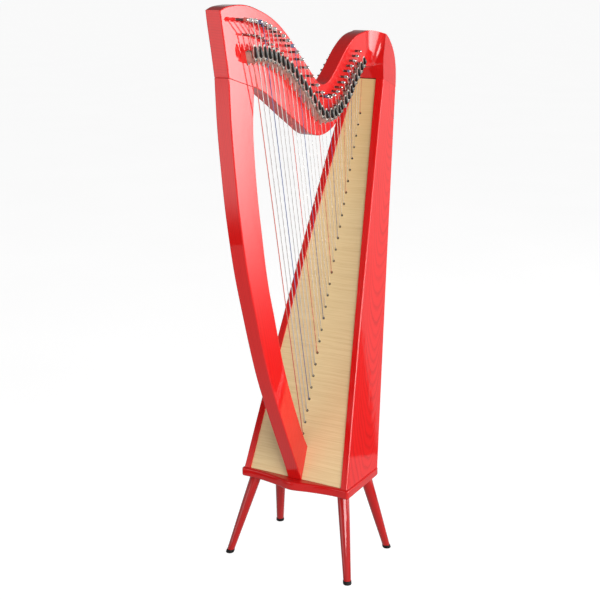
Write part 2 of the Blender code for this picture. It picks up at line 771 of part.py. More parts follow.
def build_pillar():
    foot, heel = on_box(0.0, floor_t(0.0005), 0.0005), on_box(0.0, -0.0270, 0.0005)
    outline = list(PILLAR_FRONT) + [(foot.y, foot.z), (heel.y, heel.z)] + list(PILLAR_BACK)
    on_base = len(PILLAR_FRONT) - 1
    bm = bmesh.new()
    rounded_slab(bm, outline, HALF_NECK, 0.0022, (on_base, on_base + 1, len(outline) - 1))
    finish("pillar", bm, RED, smooth=35)


# ---------------------------------------------------------------- strings and levers
def build_strings():
    bm = bmesh.new()
    low, high = -0.016, (STRINGS - 1) * PITCH + 0.020
    middle = on_box(0.0, (low + high) / 2.0, -BOARD - GAP - 0.0035)
    block(bm, middle, (0.0110, (high - low) / 2.0, 0.0035), (Vector((1, 0, 0)), ALONG, OUT))
    band = finish("strings", bm, STRING)
    bm, coils = bmesh.new(), bmesh.new()
    for number in range(1, STRINGS + 1):
        tube(bm, string_path(number), string_radius(number), count=6)
        peg = tuning_pin(number)
        inner, outer = TUNING_R + GAP, TUNING_R + GAP + COIL
        y, z = Vector((0, 1, 0)), Vector((0, 0, 1))
        at = Vector((coil_x(number) - COIL_LONG / 2.0, peg.y, peg.z))
        sleeve(coils, at, Vector((COIL_LONG, 0.0, 0.0)), y, z, inner, outer)
    join_solids(band, finish("cords", bm, None), "UNION", "MANIFOLD")
    join_solids(band, finish("coils", coils, None), "UNION", "MANIFOLD")
    shade(band.data, 60)


def sleeve(bm, start, along, side, other, inner, outer, count=8):
    loops = []
    for base in (start, start + along):
        for radius in (inner, outer):
            loops.append([bm.verts.new(p) for p in circle(base, side, other, radius, count)])
    low_in, low_out, high_in, high_out = loops
    for a, b in ((low_in, low_out), (low_out, high_out), (high_out, high_in), (high_in, low_in)):
        for i in range(count):
            j = (i + 1) % count
            bm.faces.new((a[i], a[j], b[j], b[i]))


def build_levers():
    out = Vector((1.0, 0.0, 0.0))
    for number in range(1, STRINGS + 1):
        pivot, up, axis = lever_frame(number)
        long = 0.0260 + 0.0090 * (number - 1) / (STRINGS - 1)
        # side view (along the string, away from the neck) around the pivot
        outer = [
            (EYE_R * math.cos(a), EYE_R * math.sin(a))
            for a in (math.radians(d) for d in (62, 104, 146, 188, 230, 272, 305))
        ]
        outer += [(0.0062, -0.0012), (long * 0.50, -0.0006), (long * 0.80, 0.0008), (long, 0.0028),
                  (long * 0.96, 0.0040), (long * 0.84, 0.0058), (long * 0.62, 0.0074),
                  (long * 0.38, 0.0078), (0.0080, 0.0070), (0.0042, 0.0044)]
        inner = [
            (EYE_HOLE * math.cos(a), EYE_HOLE * math.sin(a))
            for a in (2.0 * math.pi * k / 8 for k in range(8))
        ]
        start = pivot - axis * LEVER_HALF
        bm = bmesh.new()
        ring_prism(
            bm,
            [start + up * b + out * c for b, c in outer],
            [start + up * b + out * c for b, c in inner],
            axis * (2.0 * LEVER_HALF),
        )
        finish("lever_%02d" % number, bm, NICKEL, origin=pivot, smooth=30)


build_base()
build_legs()
build_sides()
build_soundboard()
build_back()
build_inside()
build_shoulder()
build_neck()
build_pillar()
build_strings()
build_levers()

for ob in bpy.context.scene.objects:
    ob.location += SHIFT
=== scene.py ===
"""Lever harp: the visual model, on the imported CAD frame.

Lengths are in metres.  The profiles are those of the CAD model and are written, as
there, with y = 0 over the middle of the base board; SHIFT moves every piece into the
frame's own place.  Each CAD solid whose real surface is finer than its facets is
replaced by a piece of the same size.
"""
import json
import math

import bmesh
import bpy
from mathutils import Matrix, Vector


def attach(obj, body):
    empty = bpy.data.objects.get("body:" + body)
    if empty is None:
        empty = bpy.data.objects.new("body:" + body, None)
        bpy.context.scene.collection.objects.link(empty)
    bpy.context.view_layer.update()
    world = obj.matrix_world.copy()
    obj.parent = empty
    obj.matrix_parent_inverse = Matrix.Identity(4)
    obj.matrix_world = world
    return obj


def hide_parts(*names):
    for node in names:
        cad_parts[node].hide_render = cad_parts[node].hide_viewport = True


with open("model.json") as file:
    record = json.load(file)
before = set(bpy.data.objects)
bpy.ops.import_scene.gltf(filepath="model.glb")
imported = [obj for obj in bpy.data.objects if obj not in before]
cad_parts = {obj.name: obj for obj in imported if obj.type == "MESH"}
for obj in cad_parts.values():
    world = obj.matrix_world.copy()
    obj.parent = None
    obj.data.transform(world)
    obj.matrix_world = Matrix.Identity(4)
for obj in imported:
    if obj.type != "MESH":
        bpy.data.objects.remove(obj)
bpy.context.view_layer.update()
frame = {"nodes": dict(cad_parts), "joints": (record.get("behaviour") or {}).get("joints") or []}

SHIFT = Vector((0.0, 0.0274, -0.0030))
X, Y, Z = Vector((1.0, 0.0, 0.0)), Vector((0.0, 1.0, 0.0)), Vector((0.0, 0.0, 1.0))

# ------------------------ sizes from the CAD
LEAN = math.radians(20.16)
BOARD_ORIGIN = Vector((0.0, -0.0377, 0.3336))
ALONG = Vector((0.0, math.sin(LEAN), math.cos(LEAN)))
OUT = Vector((0.0, -math.cos(LEAN), math.sin(LEAN)))
GAP = 0.0003
FLOOR = 0.0030
BASE_TOP, BASE_THICK = 0.2293, 0.0230
BOX_TOP, BOX_BOTTOM = 0.9050, -0.1060
RIM_RAISE, RIM_BOW = 0.0040, 0.0080
PANEL, BOARD, BACK = 0.0060, 0.0032, 0.0045
STRINGS = 29
PITCH = 0.8147 / (STRINGS - 1)
HALF_NECK = 0.0190


def hump(t):
    s = (t - BOX_BOTTOM) / (BOX_TOP - BOX_BOTTOM)
    return 4.0 * s * (1.0 - s) if 0.0 < s < 1.0 else 0.0


def half_width(t):
    return 0.1371 - 0.0966 * t + 0.0008 * hump(t)


def half_wood(t):
    return 0.1191 - 0.1007 * t + 0.0030 * hump(t)


def depth(t):
    return 0.1530 - 0.0927 * t - 0.0035 * hump(t)


def dish(x, t):
    return RIM_BOW * hump(t) * min(1.0, (x / half_wood(t)) ** 2)


def on_box(x, t, off):
    return BOARD_ORIGIN + ALONG * t + OUT * off + Vector((x, 0.0, 0.0))


def floor_t(off):
    return (BASE_TOP + GAP - BOARD_ORIGIN.z - OUT.z * off) / ALONG.z


# ------------------------ shader helpers
def rgb(r, g, b):
    return (r, g, b, 1.0)


def feed(tree, node, values):
    """Set a node's inputs; values may be numbers or other nodes' sockets."""
    for key, value in values.items():
        if isinstance(value, bpy.types.NodeSocket):
            tree.links.new(value, node.inputs[key])
        else:
            node.inputs[key].default_value = value


def put(tree, kind, values=None, **props):
    """Add a shader node with its input values and its own settings."""
    n = tree.nodes.new("ShaderNode" + kind)
    for key, value in props.items():
        setattr(n, key, value)
    feed(tree, n, values or {})
    return n


def calc(tree, operation, a, b=0.0, c=0.0, clamp=False):
    n = put(tree, "Math", {0: a, 1: b, 2: c}, operation=operation, use_clamp=clamp)
    return n.outputs[0]


def scaled(tree, vector, scale):
    return put(tree, "VectorMath", {0: vector, 1: scale}, operation="MULTIPLY").outputs[0]


def noise(tree, vector, scale, detail=2.0, rough=0.5, colour=False):
    n = put(tree, "TexNoise", {"Vector": vector, "Scale": scale, "Detail": detail, "Roughness": rough})
    return n.outputs["Color" if colour else 0]


def swing(tree, value, amount, base, clamp=False):
    """base plus amount times how far a noise is from its middle."""
    return calc(tree, "MULTIPLY_ADD", calc(tree, "SUBTRACT", value, 0.5), amount, base, clamp)


def span(tree, value, low, high, to_low=0.0, to_high=1.0, ease="LINEAR"):
    n = put(tree, "MapRange", {0: value, 1: low, 2: high, 3: to_low, 4: to_high}, clamp=True,
            interpolation_type=ease)
    return n.outputs[0]


def blend_colour(tree, factor, a, b):
    n = put(tree, "Mix", {0: factor, 6: a, 7: b}, data_type="RGBA")
    return n.outputs[2]


def new_material(name):
    mat = bpy.data.materials.new(name)
    mat.use_nodes = True
    tree = mat.node_tree
    return mat, tree, tree.nodes["Principled BSDF"], put(tree, "TexCoord").outputs["Object"]


def shine(tree, shader, strength):
    """Make a surface that only gives white light."""
    feed(tree, shader, {"Base Color": rgb(0.0, 0.0, 0.0), "Specular IOR Level": 0.0, "Roughness": 1.0,
                        "Emission Color": rgb(1.0, 1.0, 1.0), "Emission Strength": strength})


def wood(name, grain, light, dark, heart=(0.06, 0.30), spacing=0.0055, contrast=0.75, tilt=0.0,
         pore=0.30, rough=0.34, coat=1.0, coat_rough=0.012, stripes=0.14, cloudy=0.30):
    """Wood cut from a log whose axis runs along grain; heart is how far away its middle is."""
    mat, tree, shader, place = new_material(name)
    turn = Vector(grain).normalized().rotation_difference(Z).to_matrix()
    turn = (Matrix.Rotation(tilt, 3, "X") @ turn).to_euler()
    local = put(tree, "Mapping", {"Vector": place, "Rotation": turn}).outputs[0]
    drift = noise(tree, scaled(tree, local, (5.0, 5.0, 1.1)), 1.0, 2.0, colour=True)
    drift = put(tree, "VectorMath", {0: drift, 1: (0.5, 0.5, 0.5)}, operation="SUBTRACT").outputs[0]
    bent = put(tree, "VectorMath", {0: drift, 1: (0.05, 0.05, 0.0), 2: local}, operation="MULTIPLY_ADD")
    centre = put(tree, "VectorMath", {0: bent.outputs[0], 1: (heart[0], heart[1], 0.0)}, operation="ADD")
    flat = scaled(tree, centre.outputs[0], (1.0, 1.0, 0.0))
    radius = put(tree, "VectorMath", {0: flat}, operation="LENGTH").outputs["Value"]
    years = calc(tree, "ADD", calc(tree, "DIVIDE", radius, spacing),
                 calc(tree, "MULTIPLY", noise(tree, scaled(tree, local, (30.0, 30.0, 3.0)), 1.0, 3.0), 0.7))
    season = calc(tree, "FRACT", years)
    ring = put(tree, "ValToRGB", {0: season})
    ramp = ring.color_ramp
    ramp.elements[0].color, ramp.elements[1].color = rgb(0.95, 0.95, 0.95), rgb(0.80, 0.80, 0.80)
    for where, level in ((0.16, 0.70), (0.38, 0.12), (0.72, 0.05), (0.93, 0.35)):
        ramp.elements.new(where).color = rgb(level, level, level)
    year_tone = noise(tree, put(tree, "CombineXYZ", {0: calc(tree, "FLOOR", years)}).outputs[0], 3.7, 1.0)
    late = calc(tree, "MULTIPLY", ring.outputs[0], span(tree, year_tone, 0.30, 0.70, 0.35, 1.0))
    dots = span(tree, noise(tree, scaled(tree, local, (1500.0, 1500.0, 38.0)), 1.0, 2.0, 0.6), 0.56, 0.66)
    fibre = noise(tree, scaled(tree, local, (420.0, 420.0, 6.0)), 1.0, 3.0, 0.6)
    pores = calc(tree, "MULTIPLY", dots, calc(tree, "MULTIPLY_ADD", late, 0.8, 0.2))
    cloud = noise(tree, scaled(tree, local, (9.0, 9.0, 2.2)), 1.0, 3.0)
    shade = calc(tree, "MULTIPLY", late, contrast)
    shade = calc(tree, "MULTIPLY_ADD", pores, pore, shade)
    shade = swing(tree, fibre, stripes, shade)
    shade = swing(tree, cloud, cloudy, shade, clamp=True)
    colour = blend_colour(tree, shade, rgb(*light), rgb(*dark))
    dents = put(tree, "Bump", {"Height": calc(tree, "MULTIPLY", pores, -1.0), "Distance": 0.00012,
                               "Strength": 0.5})
    skin = noise(tree, place, 55.0, 2.0)
    film = put(tree, "Bump", {"Height": skin, "Distance": 0.00012, "Strength": 0.6})
    smear = noise(tree, place, 7.0, 3.0)
    feed(tree, shader, {
        "Base Color": colour, "Roughness": calc(tree, "MULTIPLY_ADD", shade, 0.12, rough),
        "Specular IOR Level": 0.05, "Normal": dents.outputs[0],
        "Coat Weight": coat, "Coat Roughness": span(tree, smear, 0.35, 0.7, coat_rough, coat_rough + 0.03),
        "Coat IOR": 1.5, "Coat Normal": film.outputs[0],
    })
    return mat


RED_LIGHT, RED_DARK = (0.700, 0.0100, 0.0092), (0.420, 0.0028, 0.0030)


def red(name, grain, depth=1.0, **more):
    """Red stained maple under lacquer; a smaller depth makes both of its tones darker."""
    light, dark = ([c * depth for c in tone] for tone in (RED_LIGHT, RED_DARK))
    return wood(name, grain, light, dark, **more)


def spruce():
    """Soundboard: pale wood with its grain running from side to side."""
    mat, tree, shader, place = new_material("soundboard_wood")
    turn = OUT.rotation_difference(Z).to_euler()
    local = put(tree, "Mapping", {"Vector": place, "Rotation": turn}).outputs[0]
    wave = noise(tree, scaled(tree, local, (9.0, 4.0, 0.0)), 1.0, 2.0)
    lift = put(tree, "CombineXYZ", {1: calc(tree, "MULTIPLY", calc(tree, "SUBTRACT", wave, 0.5), 0.005)})
    local = put(tree, "VectorMath", {0: local, 1: lift.outputs[0]}, operation="ADD").outputs[0]
    lines = noise(tree, scaled(tree, local, (5.0, 430.0, 0.0)), 1.0, 2.0, 0.55)
    broad = noise(tree, scaled(tree, local, (1.3, 60.0, 0.0)), 1.0, 2.0, 0.5)
    curl = noise(tree, scaled(tree, local, (16.0, 190.0, 0.0)), 1.0, 3.0, 0.6)
    fibre = noise(tree, scaled(tree, local, (25.0, 1500.0, 0.0)), 1.0, 2.0)
    cloud = noise(tree, place, 5.0, 2.0)
    shade = calc(tree, "MULTIPLY", span(tree, lines, 0.42, 0.74), 0.50)
    shade = calc(tree, "MULTIPLY_ADD", span(tree, broad, 0.40, 0.80), 0.22, shade)
    shade = calc(tree, "MULTIPLY_ADD", span(tree, curl, 0.46, 0.74), 0.20, shade)
    shade = swing(tree, fibre, 0.25, shade)
    shade = swing(tree, cloud, 0.35, shade, clamp=True)
    colour = blend_colour(tree, shade, rgb(0.850, 0.645, 0.350), rgb(0.650, 0.435, 0.195))
    # painted shade and reflection: towards the top the board is blended darker and more orange, for the shade
    # there and the red light thrown from the neck
    height = put(tree, "SeparateXYZ", {0: place}).outputs[2]
    colour = blend_colour(tree, span(tree, height, 0.85, 1.20, 0.0, 0.55), colour, rgb(0.640, 0.400, 0.130))
    grain = put(tree, "Bump", {"Height": shade, "Distance": 0.00008, "Strength": 0.4})
    feed(tree, shader, {
        "Base Color": colour, "Roughness": span(tree, shade, 0.0, 1.0, 0.42, 0.54),
        "Specular IOR Level": 0.35, "Normal": grain.outputs[0],
        "Coat Weight": 0.35, "Coat Roughness": 0.22, "Coat IOR": 1.48,
    })
    return mat


def metal(name, colour, rough, tarnish=0.10):
    mat, tree, shader, place = new_material(name)
    stain = noise(tree, place, 140.0, 3.0)
    fine = noise(tree, place, 1800.0, 2.0)
    tint = blend_colour(tree, span(tree, stain, 0.45, 0.75), rgb(*colour), rgb(*(c * 0.72 for c in colour)))
    bump = put(tree, "Bump", {"Height": fine, "Distance": 0.00002, "Strength": 0.35})
    feed(tree, shader, {
        "Base Color": tint, "Metallic": 1.0,
        "Roughness": span(tree, stain, 0.3, 0.75, rough, rough + tarnish), "Normal": bump.outputs[0],
    })
    return mat


def plain(name, colour, rough, worn=(1.25, 0.8), grit=700.0, depth_m=0.00004, **more):
    """Moulded or drawn material: slightly uneven colour and a fine surface."""
    mat, tree, shader, place = new_material(name)
    patch = noise(tree, place, 60.0, 3.0)
    fine = noise(tree, place, grit, 2.0)
    high, low = (rgb(*(min(1.0, c * k) for c in colour)) for k in worn)
    bump = put(tree, "Bump", {"Height": fine, "Distance": depth_m, "Strength": 0.5})
    feed(tree, shader, {
        "Base Color": blend_colour(tree, span(tree, patch, 0.3, 0.7), low, high),
        "Roughness": span(tree, patch, 0.3, 0.7, rough, rough + 0.12), "Normal": bump.outputs[0],
    })
    feed(tree, shader, more)
    return mat


WIRE_PITCH = 0.00055


def wound(name, colour, metallic):
    """A string covered with fine wire: ridges across its length."""
    mat, tree, shader, place = new_material(name)
    height = put(tree, "SeparateXYZ", {0: place}).outputs[2]
    ridge = calc(tree, "SINE", calc(tree, "MULTIPLY", height, 2.0 * math.pi / WIRE_PITCH))
    bump = put(tree, "Bump", {"Height": ridge, "Distance": 0.00008, "Strength": 0.6})
    # painted shade: the colour darkens over part of every turn of the wire, as the turns' shading
    tone = span(tree, ridge, -1.0, 1.0, 0.0, 0.5)
    dark = rgb(*(c * 0.45 for c in colour))
    feed(tree, shader, {
        "Base Color": blend_colour(tree, tone, rgb(*colour), dark), "Metallic": metallic,
        "Roughness": 0.34, "Normal": bump.outputs[0],
    })
    return mat


ALONG_F = tuple(ALONG)
RED_NECK = red("red_wood_neck", (0.0, 0.90, -0.44), heart=(0.05, 0.42), spacing=0.0046, contrast=0.32)
RED_PILLAR = red("red_wood_pillar", (0.0, -0.24, 0.97), heart=(0.11, 0.10), spacing=0.0042, contrast=0.42)
# painted shade: the shoulder's red wood is made darker (depth 0.88) for the shade it sits in
RED_SHOULDER = red("red_wood_shoulder", (0.0, 0.25, 0.97), heart=(0.09, 0.13), spacing=0.0042, contrast=0.32,
                   depth=0.88)
RED_SIDE = red("red_wood_side", ALONG_F, heart=(0.035, 0.07), spacing=0.0032, contrast=0.68, tilt=0.022)
RED_BACK = red("red_wood_back", ALONG_F, heart=(0.03, 0.10), spacing=0.0040, contrast=0.55, tilt=0.020)
RED_BASE = red("red_wood_base", (1.0, 0.05, 0.0), heart=(0.08, 0.10), spacing=0.0040, contrast=0.45,
               depth=0.88)
PALE = spruce()
INNER = wood("inner_wood", ALONG_F, (0.60, 0.40, 0.22), (0.40, 0.24, 0.12), contrast=0.6, coat=0.0,
             rough=0.62)
NICKEL = metal("pin_metal", (0.17, 0.165, 0.16), 0.20)
DULL = metal("bridge_pin_metal", (0.34, 0.33, 0.31), 0.16)
BRIGHT = metal("bright_metal", (0.84, 0.83, 0.80), 0.12, 0.08)
SATIN = plain("satin_metal", (0.46, 0.42, 0.35), 0.28, worn=(1.3, 0.7), **{"Metallic": 0.45})
SILVER = plain("lever_silver", (0.70, 0.67, 0.60), 0.22, worn=(1.15, 0.8), **{"Metallic": 0.35})
STEEL = metal("steel", (0.56, 0.56, 0.57), 0.28, 0.15)
BLACK = plain("black_grip", (0.010, 0.011, 0.010), 0.26, **{"Specular IOR Level": 0.45})
DARK_EYE = plain("string_eyelet", (0.008, 0.006, 0.005), 0.60, **{"Specular IOR Level": 0.15})
RUBBER = plain("rubber_foot", (0.006, 0.006, 0.006), 0.55, grit=1400.0, depth_m=0.00008,
               **{"Specular IOR Level": 0.25})
NYLON = plain("string_clear", (0.86, 0.85, 0.83), 0.16, worn=(1.05, 0.95), **{"Transmission Weight": 0.70})
NYLON_RED, NYLON_BLUE = (
    plain("string_" + name, colour, 0.20, worn=(1.1, 0.85), **{"Transmission Weight": 0.35})
    for name, colour in (("red", (0.74, 0.140, 0.110)), ("blue", (0.190, 0.215, 0.400))))
WOUND = wound("string_wound", (0.66, 0.64, 0.62), 0.4)
WOUND_RED = wound("string_wound_red", (0.64, 0.140, 0.110), 0.0)
WOUND_BLUE = wound("string_wound_blue", (0.160, 0.185, 0.350), 0.0)


# ------------------------ mesh helpers
def link(name, data):
    ob = bpy.data.objects.new(name, data)
    bpy.context.scene.collection.objects.link(ob)
    return ob


def mesh_object(name, bm, mats):
    """An object of a bmesh, which is used up, with one material or several."""
    mesh = bpy.data.meshes.new(name)
    bm.to_mesh(mesh)
    bm.free()
    for mat in mats if isinstance(mats, (list, tuple)) else (mats,):
        mesh.materials.append(mat)
    return link(name, mesh)


def solid(name, bm, mats=()):
    """An object of a bmesh given in the profiles' place, moved to the frame's place."""
    bmesh.ops.recalc_face_normals(bm, faces=bm.faces)
    bmesh.ops.translate(bm, verts=bm.verts, vec=SHIFT)
    return mesh_object(name, bm, mats)


def piece(name, bm, mats, nodes=(), **finish):
    """A visible piece of the harp in place of some CAD nodes; finish is as in dress."""
    dress(solid(name, bm, mats), nodes, **finish)


def dress(ob, nodes, body="harp", slot="red_wood", angle=38.0, bevel=0.0, segments=2, weighted=False):
    """Round the edges of ob, shade it, put it under its body and hide the CAD nodes it replaces."""
    if bevel:
        mod = ob.modifiers.new("round", "BEVEL")
        mod.width, mod.segments = bevel, segments
        mod.limit_method, mod.angle_limit = "ANGLE", math.radians(50.0)
        mod.miter_outer = "MITER_ARC"
        apply(ob)
    for poly in ob.data.polygons:
        poly.use_smooth = True
    ob.data.set_sharp_from_angle(angle=math.radians(angle))
    if weighted:
        mod = ob.modifiers.new("flats", "WEIGHTED_NORMAL")
        mod.keep_sharp, mod.weight = True, 90
        apply(ob)
    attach(ob, body)
    if nodes:
        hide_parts(*nodes)


def apply(ob):
    """Turn the modifiers of ob into plain mesh."""
    bpy.context.view_layer.update()
    graph = bpy.context.evaluated_depsgraph_get()
    made = bpy.data.meshes.new_from_object(ob.evaluated_get(graph))
    ob.modifiers.clear()
    ob.data = made


def cut(ob, tools):
    """Boolean difference with several closed meshes, which are used up."""
    for tool in tools:
        mod = ob.modifiers.new("cut", "BOOLEAN")
        mod.object, mod.operation, mod.solver = tool, "DIFFERENCE", "EXACT"
        apply(ob)
        bpy.data.objects.remove(tool, do_unlink=True)


def cap(bm, verts, slot=0):
    """A flat face of any outline, made of triangles."""
    outline = bm.faces.new(verts)
    outline.normal_update()
    made = bmesh.ops.triangulate(bm, faces=[outline], ngon_method="EAR_CLIP")
    for face in made["faces"]:
        face.material_index = slot


def bands(bm, rows, slot=0, closed=True):
    """Four-sided faces between each row of vertices and the next."""
    n = len(rows[0])
    for low, high in zip(rows, rows[1:]):
        for i in range(n if closed else n - 1):
            j = (i + 1) % n
            bm.faces.new((low[i], low[j], high[j], high[i])).material_index = slot


def vertex_rows(bm, rings):
    return [[bm.verts.new(p) for p in ring] for ring in rings]


def loft(bm, rings, slot=0):
    """A closed body through rings of equally many points."""
    rows = vertex_rows(bm, rings)
    bands(bm, rows, slot)
    cap(bm, rows[0][::-1], slot)
    cap(bm, rows[-1], slot)


def across(direction):
    helper = X if abs(direction.x) < 0.8 else Z
    side = direction.cross(helper).normalized()
    return side, direction.cross(side).normalized()


def quarter(steps):
    """Angles from 0 to 90 degrees."""
    return [0.5 * math.pi * k / steps for k in range(steps + 1)]


def full_turn(count, start=0.0):
    """Angles all the way round."""
    return [start + 2.0 * math.pi * k / count for k in range(count)]


def circle(centre, side, other, radius, count, turn=0.0):
    return [centre + (side * math.cos(a) + other * math.sin(a)) * radius for a in full_turn(count, turn)]


def lathe(bm, start, direction, profile, count, turn=0.0, slot=0, hollow=False):
    """A turned body: profile is a list of (distance along direction, radius).

    A hollow one is a ring whose profile goes all the way round its section.
    """
    side, other = across(direction)
    rings = [circle(start + direction * d, side, other, r, count, turn) for d, r in profile]
    if hollow:
        rows = vertex_rows(bm, rings)
        bands(bm, rows + rows[:1], slot)
    else:
        loft(bm, rings, slot)


def sweep(bm, path, radius, count, slot):
    """A round cord along a path of points."""
    tangent = (path[1] - path[0]).normalized()
    side, _ = across(tangent)
    rings = []
    for k, point in enumerate(path):
        ahead = path[min(k + 1, len(path) - 1)] - path[max(k - 1, 0)]
        new = ahead.normalized()
        side = tangent.rotation_difference(new) @ side
        side = (side - new * side.dot(new)).normalized()
        tangent = new
        rings.append(circle(point, side, new.cross(side), radius, count))
    loft(bm, rings, slot)


def block(bm, centre, half, axes, slot=0):
    a, b, c = (axes[k] * half[k] for k in range(3))
    ring = [centre - a - b, centre + a - b, centre + a + b, centre - a + b]
    loft(bm, [[p - c for p in ring], [p + c for p in ring]], slot)


def between(pts, k, s):
    """The Catmull-Rom curve through pts, at part s of the span from point k to the next."""
    b, c = pts[k], pts[k + 1]
    a = pts[k - 1] if k else b * 2.0 - c
    d = pts[k + 2] if k + 2 < len(pts) else c * 2.0 - b
    return 0.5 * (2.0 * b + (c - a) * s + (2.0 * a - 5.0 * b + 4.0 * c - d) * s ** 2
                  + (3.0 * b - a - 3.0 * c + d) * s ** 3)


def flow(points, steps):
    """A smooth curve through points (tuples), with steps pieces to each span."""
    pts = [Vector(p) for p in points]
    return [between(pts, k, j / steps) for k in range(len(pts) - 1) for j in range(steps)] + [pts[-1]]


def inset_ring(points, amounts):
    """Move each edge of a flat 2-D loop inwards by its own amount; corners are mitred."""
    count = len(points)
    area = sum(a.x * b.y - b.x * a.y for a, b in zip(points, points[1:] + points[:1]))
    turn = 1.0 if area > 0.0 else -1.0
    lines = []
    for k in range(count):
        along = (points[(k + 1) % count] - points[k]).normalized()
        inward = Vector((-along.y, along.x)) * turn
        lines.append((points[k] + inward * amounts[k], along, inward))
    ring = []
    for k in range(count):
        (p, d, n), (q, e, m) = lines[k - 1], lines[k]
        cross = d.x * e.y - d.y * e.x
        if abs(cross) < 0.14:         # nearly straight: the moved edges would meet too far away
            ring.append(points[k] + (n + m).normalized() * min(amounts[k - 1], amounts[k]))
        else:
            ring.append(p + d * (((q - p).x * e.y - (q - p).y * e.x) / cross))
    return ring


# ------------------------ base, legs, feet
BASE_FRONT = ((0.000, -0.1045), (0.020, -0.1010), (0.040, -0.0955), (0.065, -0.0905),
              (0.090, -0.0865), (0.115, -0.0842), (0.140, -0.0850))
BASE_CORNER = ((0.1492, -0.0852), (0.1524, -0.0826), (0.1534, -0.0780))
BASE_BACK = ((0.1432, 0.0880), (0.1418, 0.0938), (0.1382, 0.0978), (0.1320, 0.0995))
BASE_EDGE = 0.0046
LEG_TOP_Z = BASE_TOP - BASE_THICK
LEGS = {
    "front_left": ((-0.1255, -0.0574), (-0.1717, -0.1164)),
    "front_right": ((0.1255, -0.0574), (0.1717, -0.1164)),
    "back_left": ((-0.1265, 0.0606), (-0.1618, 0.1143)),
    "back_right": ((0.1265, 0.0606), (0.1618, 0.1143)),
}
LEG_R_TOP, LEG_R_LOW = 0.0147, 0.0095
FOOT_R, FOOT_H = 0.0105, 0.0122


def build_base():
    front = [(-x, y) for x, y in reversed(BASE_FRONT[1:])] + list(BASE_FRONT)
    outline = flow(front, 4) + [Vector(p) for p in BASE_CORNER + BASE_BACK]
    outline += [Vector((-x, y)) for x, y in reversed(BASE_CORNER + BASE_BACK)]
    rings = []
    for a in quarter(5):
        inner = inset_ring(outline, [BASE_EDGE * (1.0 - math.sin(a))] * len(outline))
        rings.append([Vector((p.x, p.y, LEG_TOP_Z + BASE_EDGE * (1.0 - math.cos(a)))) for p in inner])
    rings += [[Vector((p.x, p.y, BASE_TOP + LEG_TOP_Z - p.z)) for p in ring] for ring in reversed(rings)]
    bm = bmesh.new()
    loft(bm, rings)
    piece("base_top_board", bm, RED_BASE, ("base_board",), weighted=True)


def leg_point(leg, z):
    top, foot = LEGS[leg]
    s = (z - FLOOR) / (LEG_TOP_Z - FLOOR)
    return Vector((foot[0] + (top[0] - foot[0]) * s, foot[1] + (top[1] - foot[1]) * s, z))


def level_ring(centre, radius, count=48):
    return circle(centre, X, Y, radius, count)


def build_legs():
    top = LEG_TOP_Z - GAP
    for leg in LEGS:
        stations = [(0.0075, LEG_R_LOW - 0.0010), (FOOT_H - 0.0008, LEG_R_LOW - 0.0004),
                    (FOOT_H + 0.0005, LEG_R_LOW), (0.060, 0.0108), (0.100, 0.0121), (0.150, 0.0135)]
        stations += [(top - 0.0016, LEG_R_TOP), (top - 0.0008, LEG_R_TOP - 0.0002),
                     (top - 0.0002, LEG_R_TOP - 0.0007), (top, LEG_R_TOP - 0.0014)]
        axis = leg_point(leg, 1.0) - leg_point(leg, 0.0)
        skin = red("red_wood_leg_" + leg, tuple(axis), heart=(0.02, 0.05 + 0.01 * len(leg)), spacing=0.0036,
                   contrast=0.50, depth=0.64)
        bm = bmesh.new()
        loft(bm, [level_ring(leg_point(leg, z), r) for z, r in stations])
        piece("turned_leg_" + leg, bm, skin, ("leg_" + leg,), angle=50.0)

        bm = bmesh.new()
        cup = ((0.0, FOOT_R - 0.0022), (0.0004, FOOT_R - 0.0012), (0.0012, FOOT_R - 0.0004), (0.0022, FOOT_R),
               (0.0050, FOOT_R), (0.0053, FOOT_R - 0.0003), (0.0057, FOOT_R - 0.0003), (0.0060, FOOT_R),
               (0.0082, FOOT_R - 0.0001), (0.0089, FOOT_R - 0.0004), (0.0092, FOOT_R - 0.0009),
               (0.0088, LEG_R_LOW + 0.0001), (0.0050, LEG_R_LOW - 0.0001))
        loft(bm, [level_ring(leg_point(leg, FLOOR + z), r) for z, r in cup])
        piece("rubber_cup_" + leg, bm, RUBBER, ("foot_" + leg,), slot="rubber", angle=45.0)


# ------------------------ soundbox
def strand(bm, section, rows, top):
    """A long body from the base to distance top up the board."""
    rings = []
    for k in range(rows + 1):
        s = k / rows
        ring = []
        for index in range(len(section(0.0))):
            t = 0.0
            for _ in range(4):
                x, off = section(t)[index]
                t = floor_t(off) * (1.0 - s) + top * s
            ring.append(on_box(x, t, off))
        rings.append(ring)
    loft(bm, rings)


def build_sides():
    """Side panel and rim strip of each side: under the lacquer their seam can't be seen."""
    for name, sign in (("left", -1.0), ("right", 1.0)):
        def section(t):
            w, inner = half_width(t), half_wood(t)
            low, high = dish(w, t) + GAP, dish(w, t) + RIM_RAISE
            round_r, chamfer = 0.0030, 0.0012
            ring = [(w - PANEL, low), (w - PANEL, -depth(t)), (w - chamfer, -depth(t)),
                    (w, -depth(t) + chamfer)]
            ring += [(w - round_r * (1.0 - math.cos(a)), high - round_r * (1.0 - math.sin(a)))
                     for a in quarter(5)]
            ring += [(inner + 0.0010, high), (inner + 0.0003, high - 0.0003), (inner, high - 0.0010),
                     (inner, low)]
            return [(sign * x, off) for x, off in ring]

        bm = bmesh.new()
        strand(bm, section, 36, BOX_TOP - GAP)
        nodes = ("side_panel_" + name, "rim_strip_" + name)
        piece("side_and_rim_" + name, bm, RED_SIDE, nodes, weighted=True)


def string_hole(number):
    return on_box(0.0, (STRINGS - number) * PITCH, 0.0)


def string_radius(number):
    return 0.00042 + 0.00070 * ((number - 1) / (STRINGS - 1)) ** 1.4


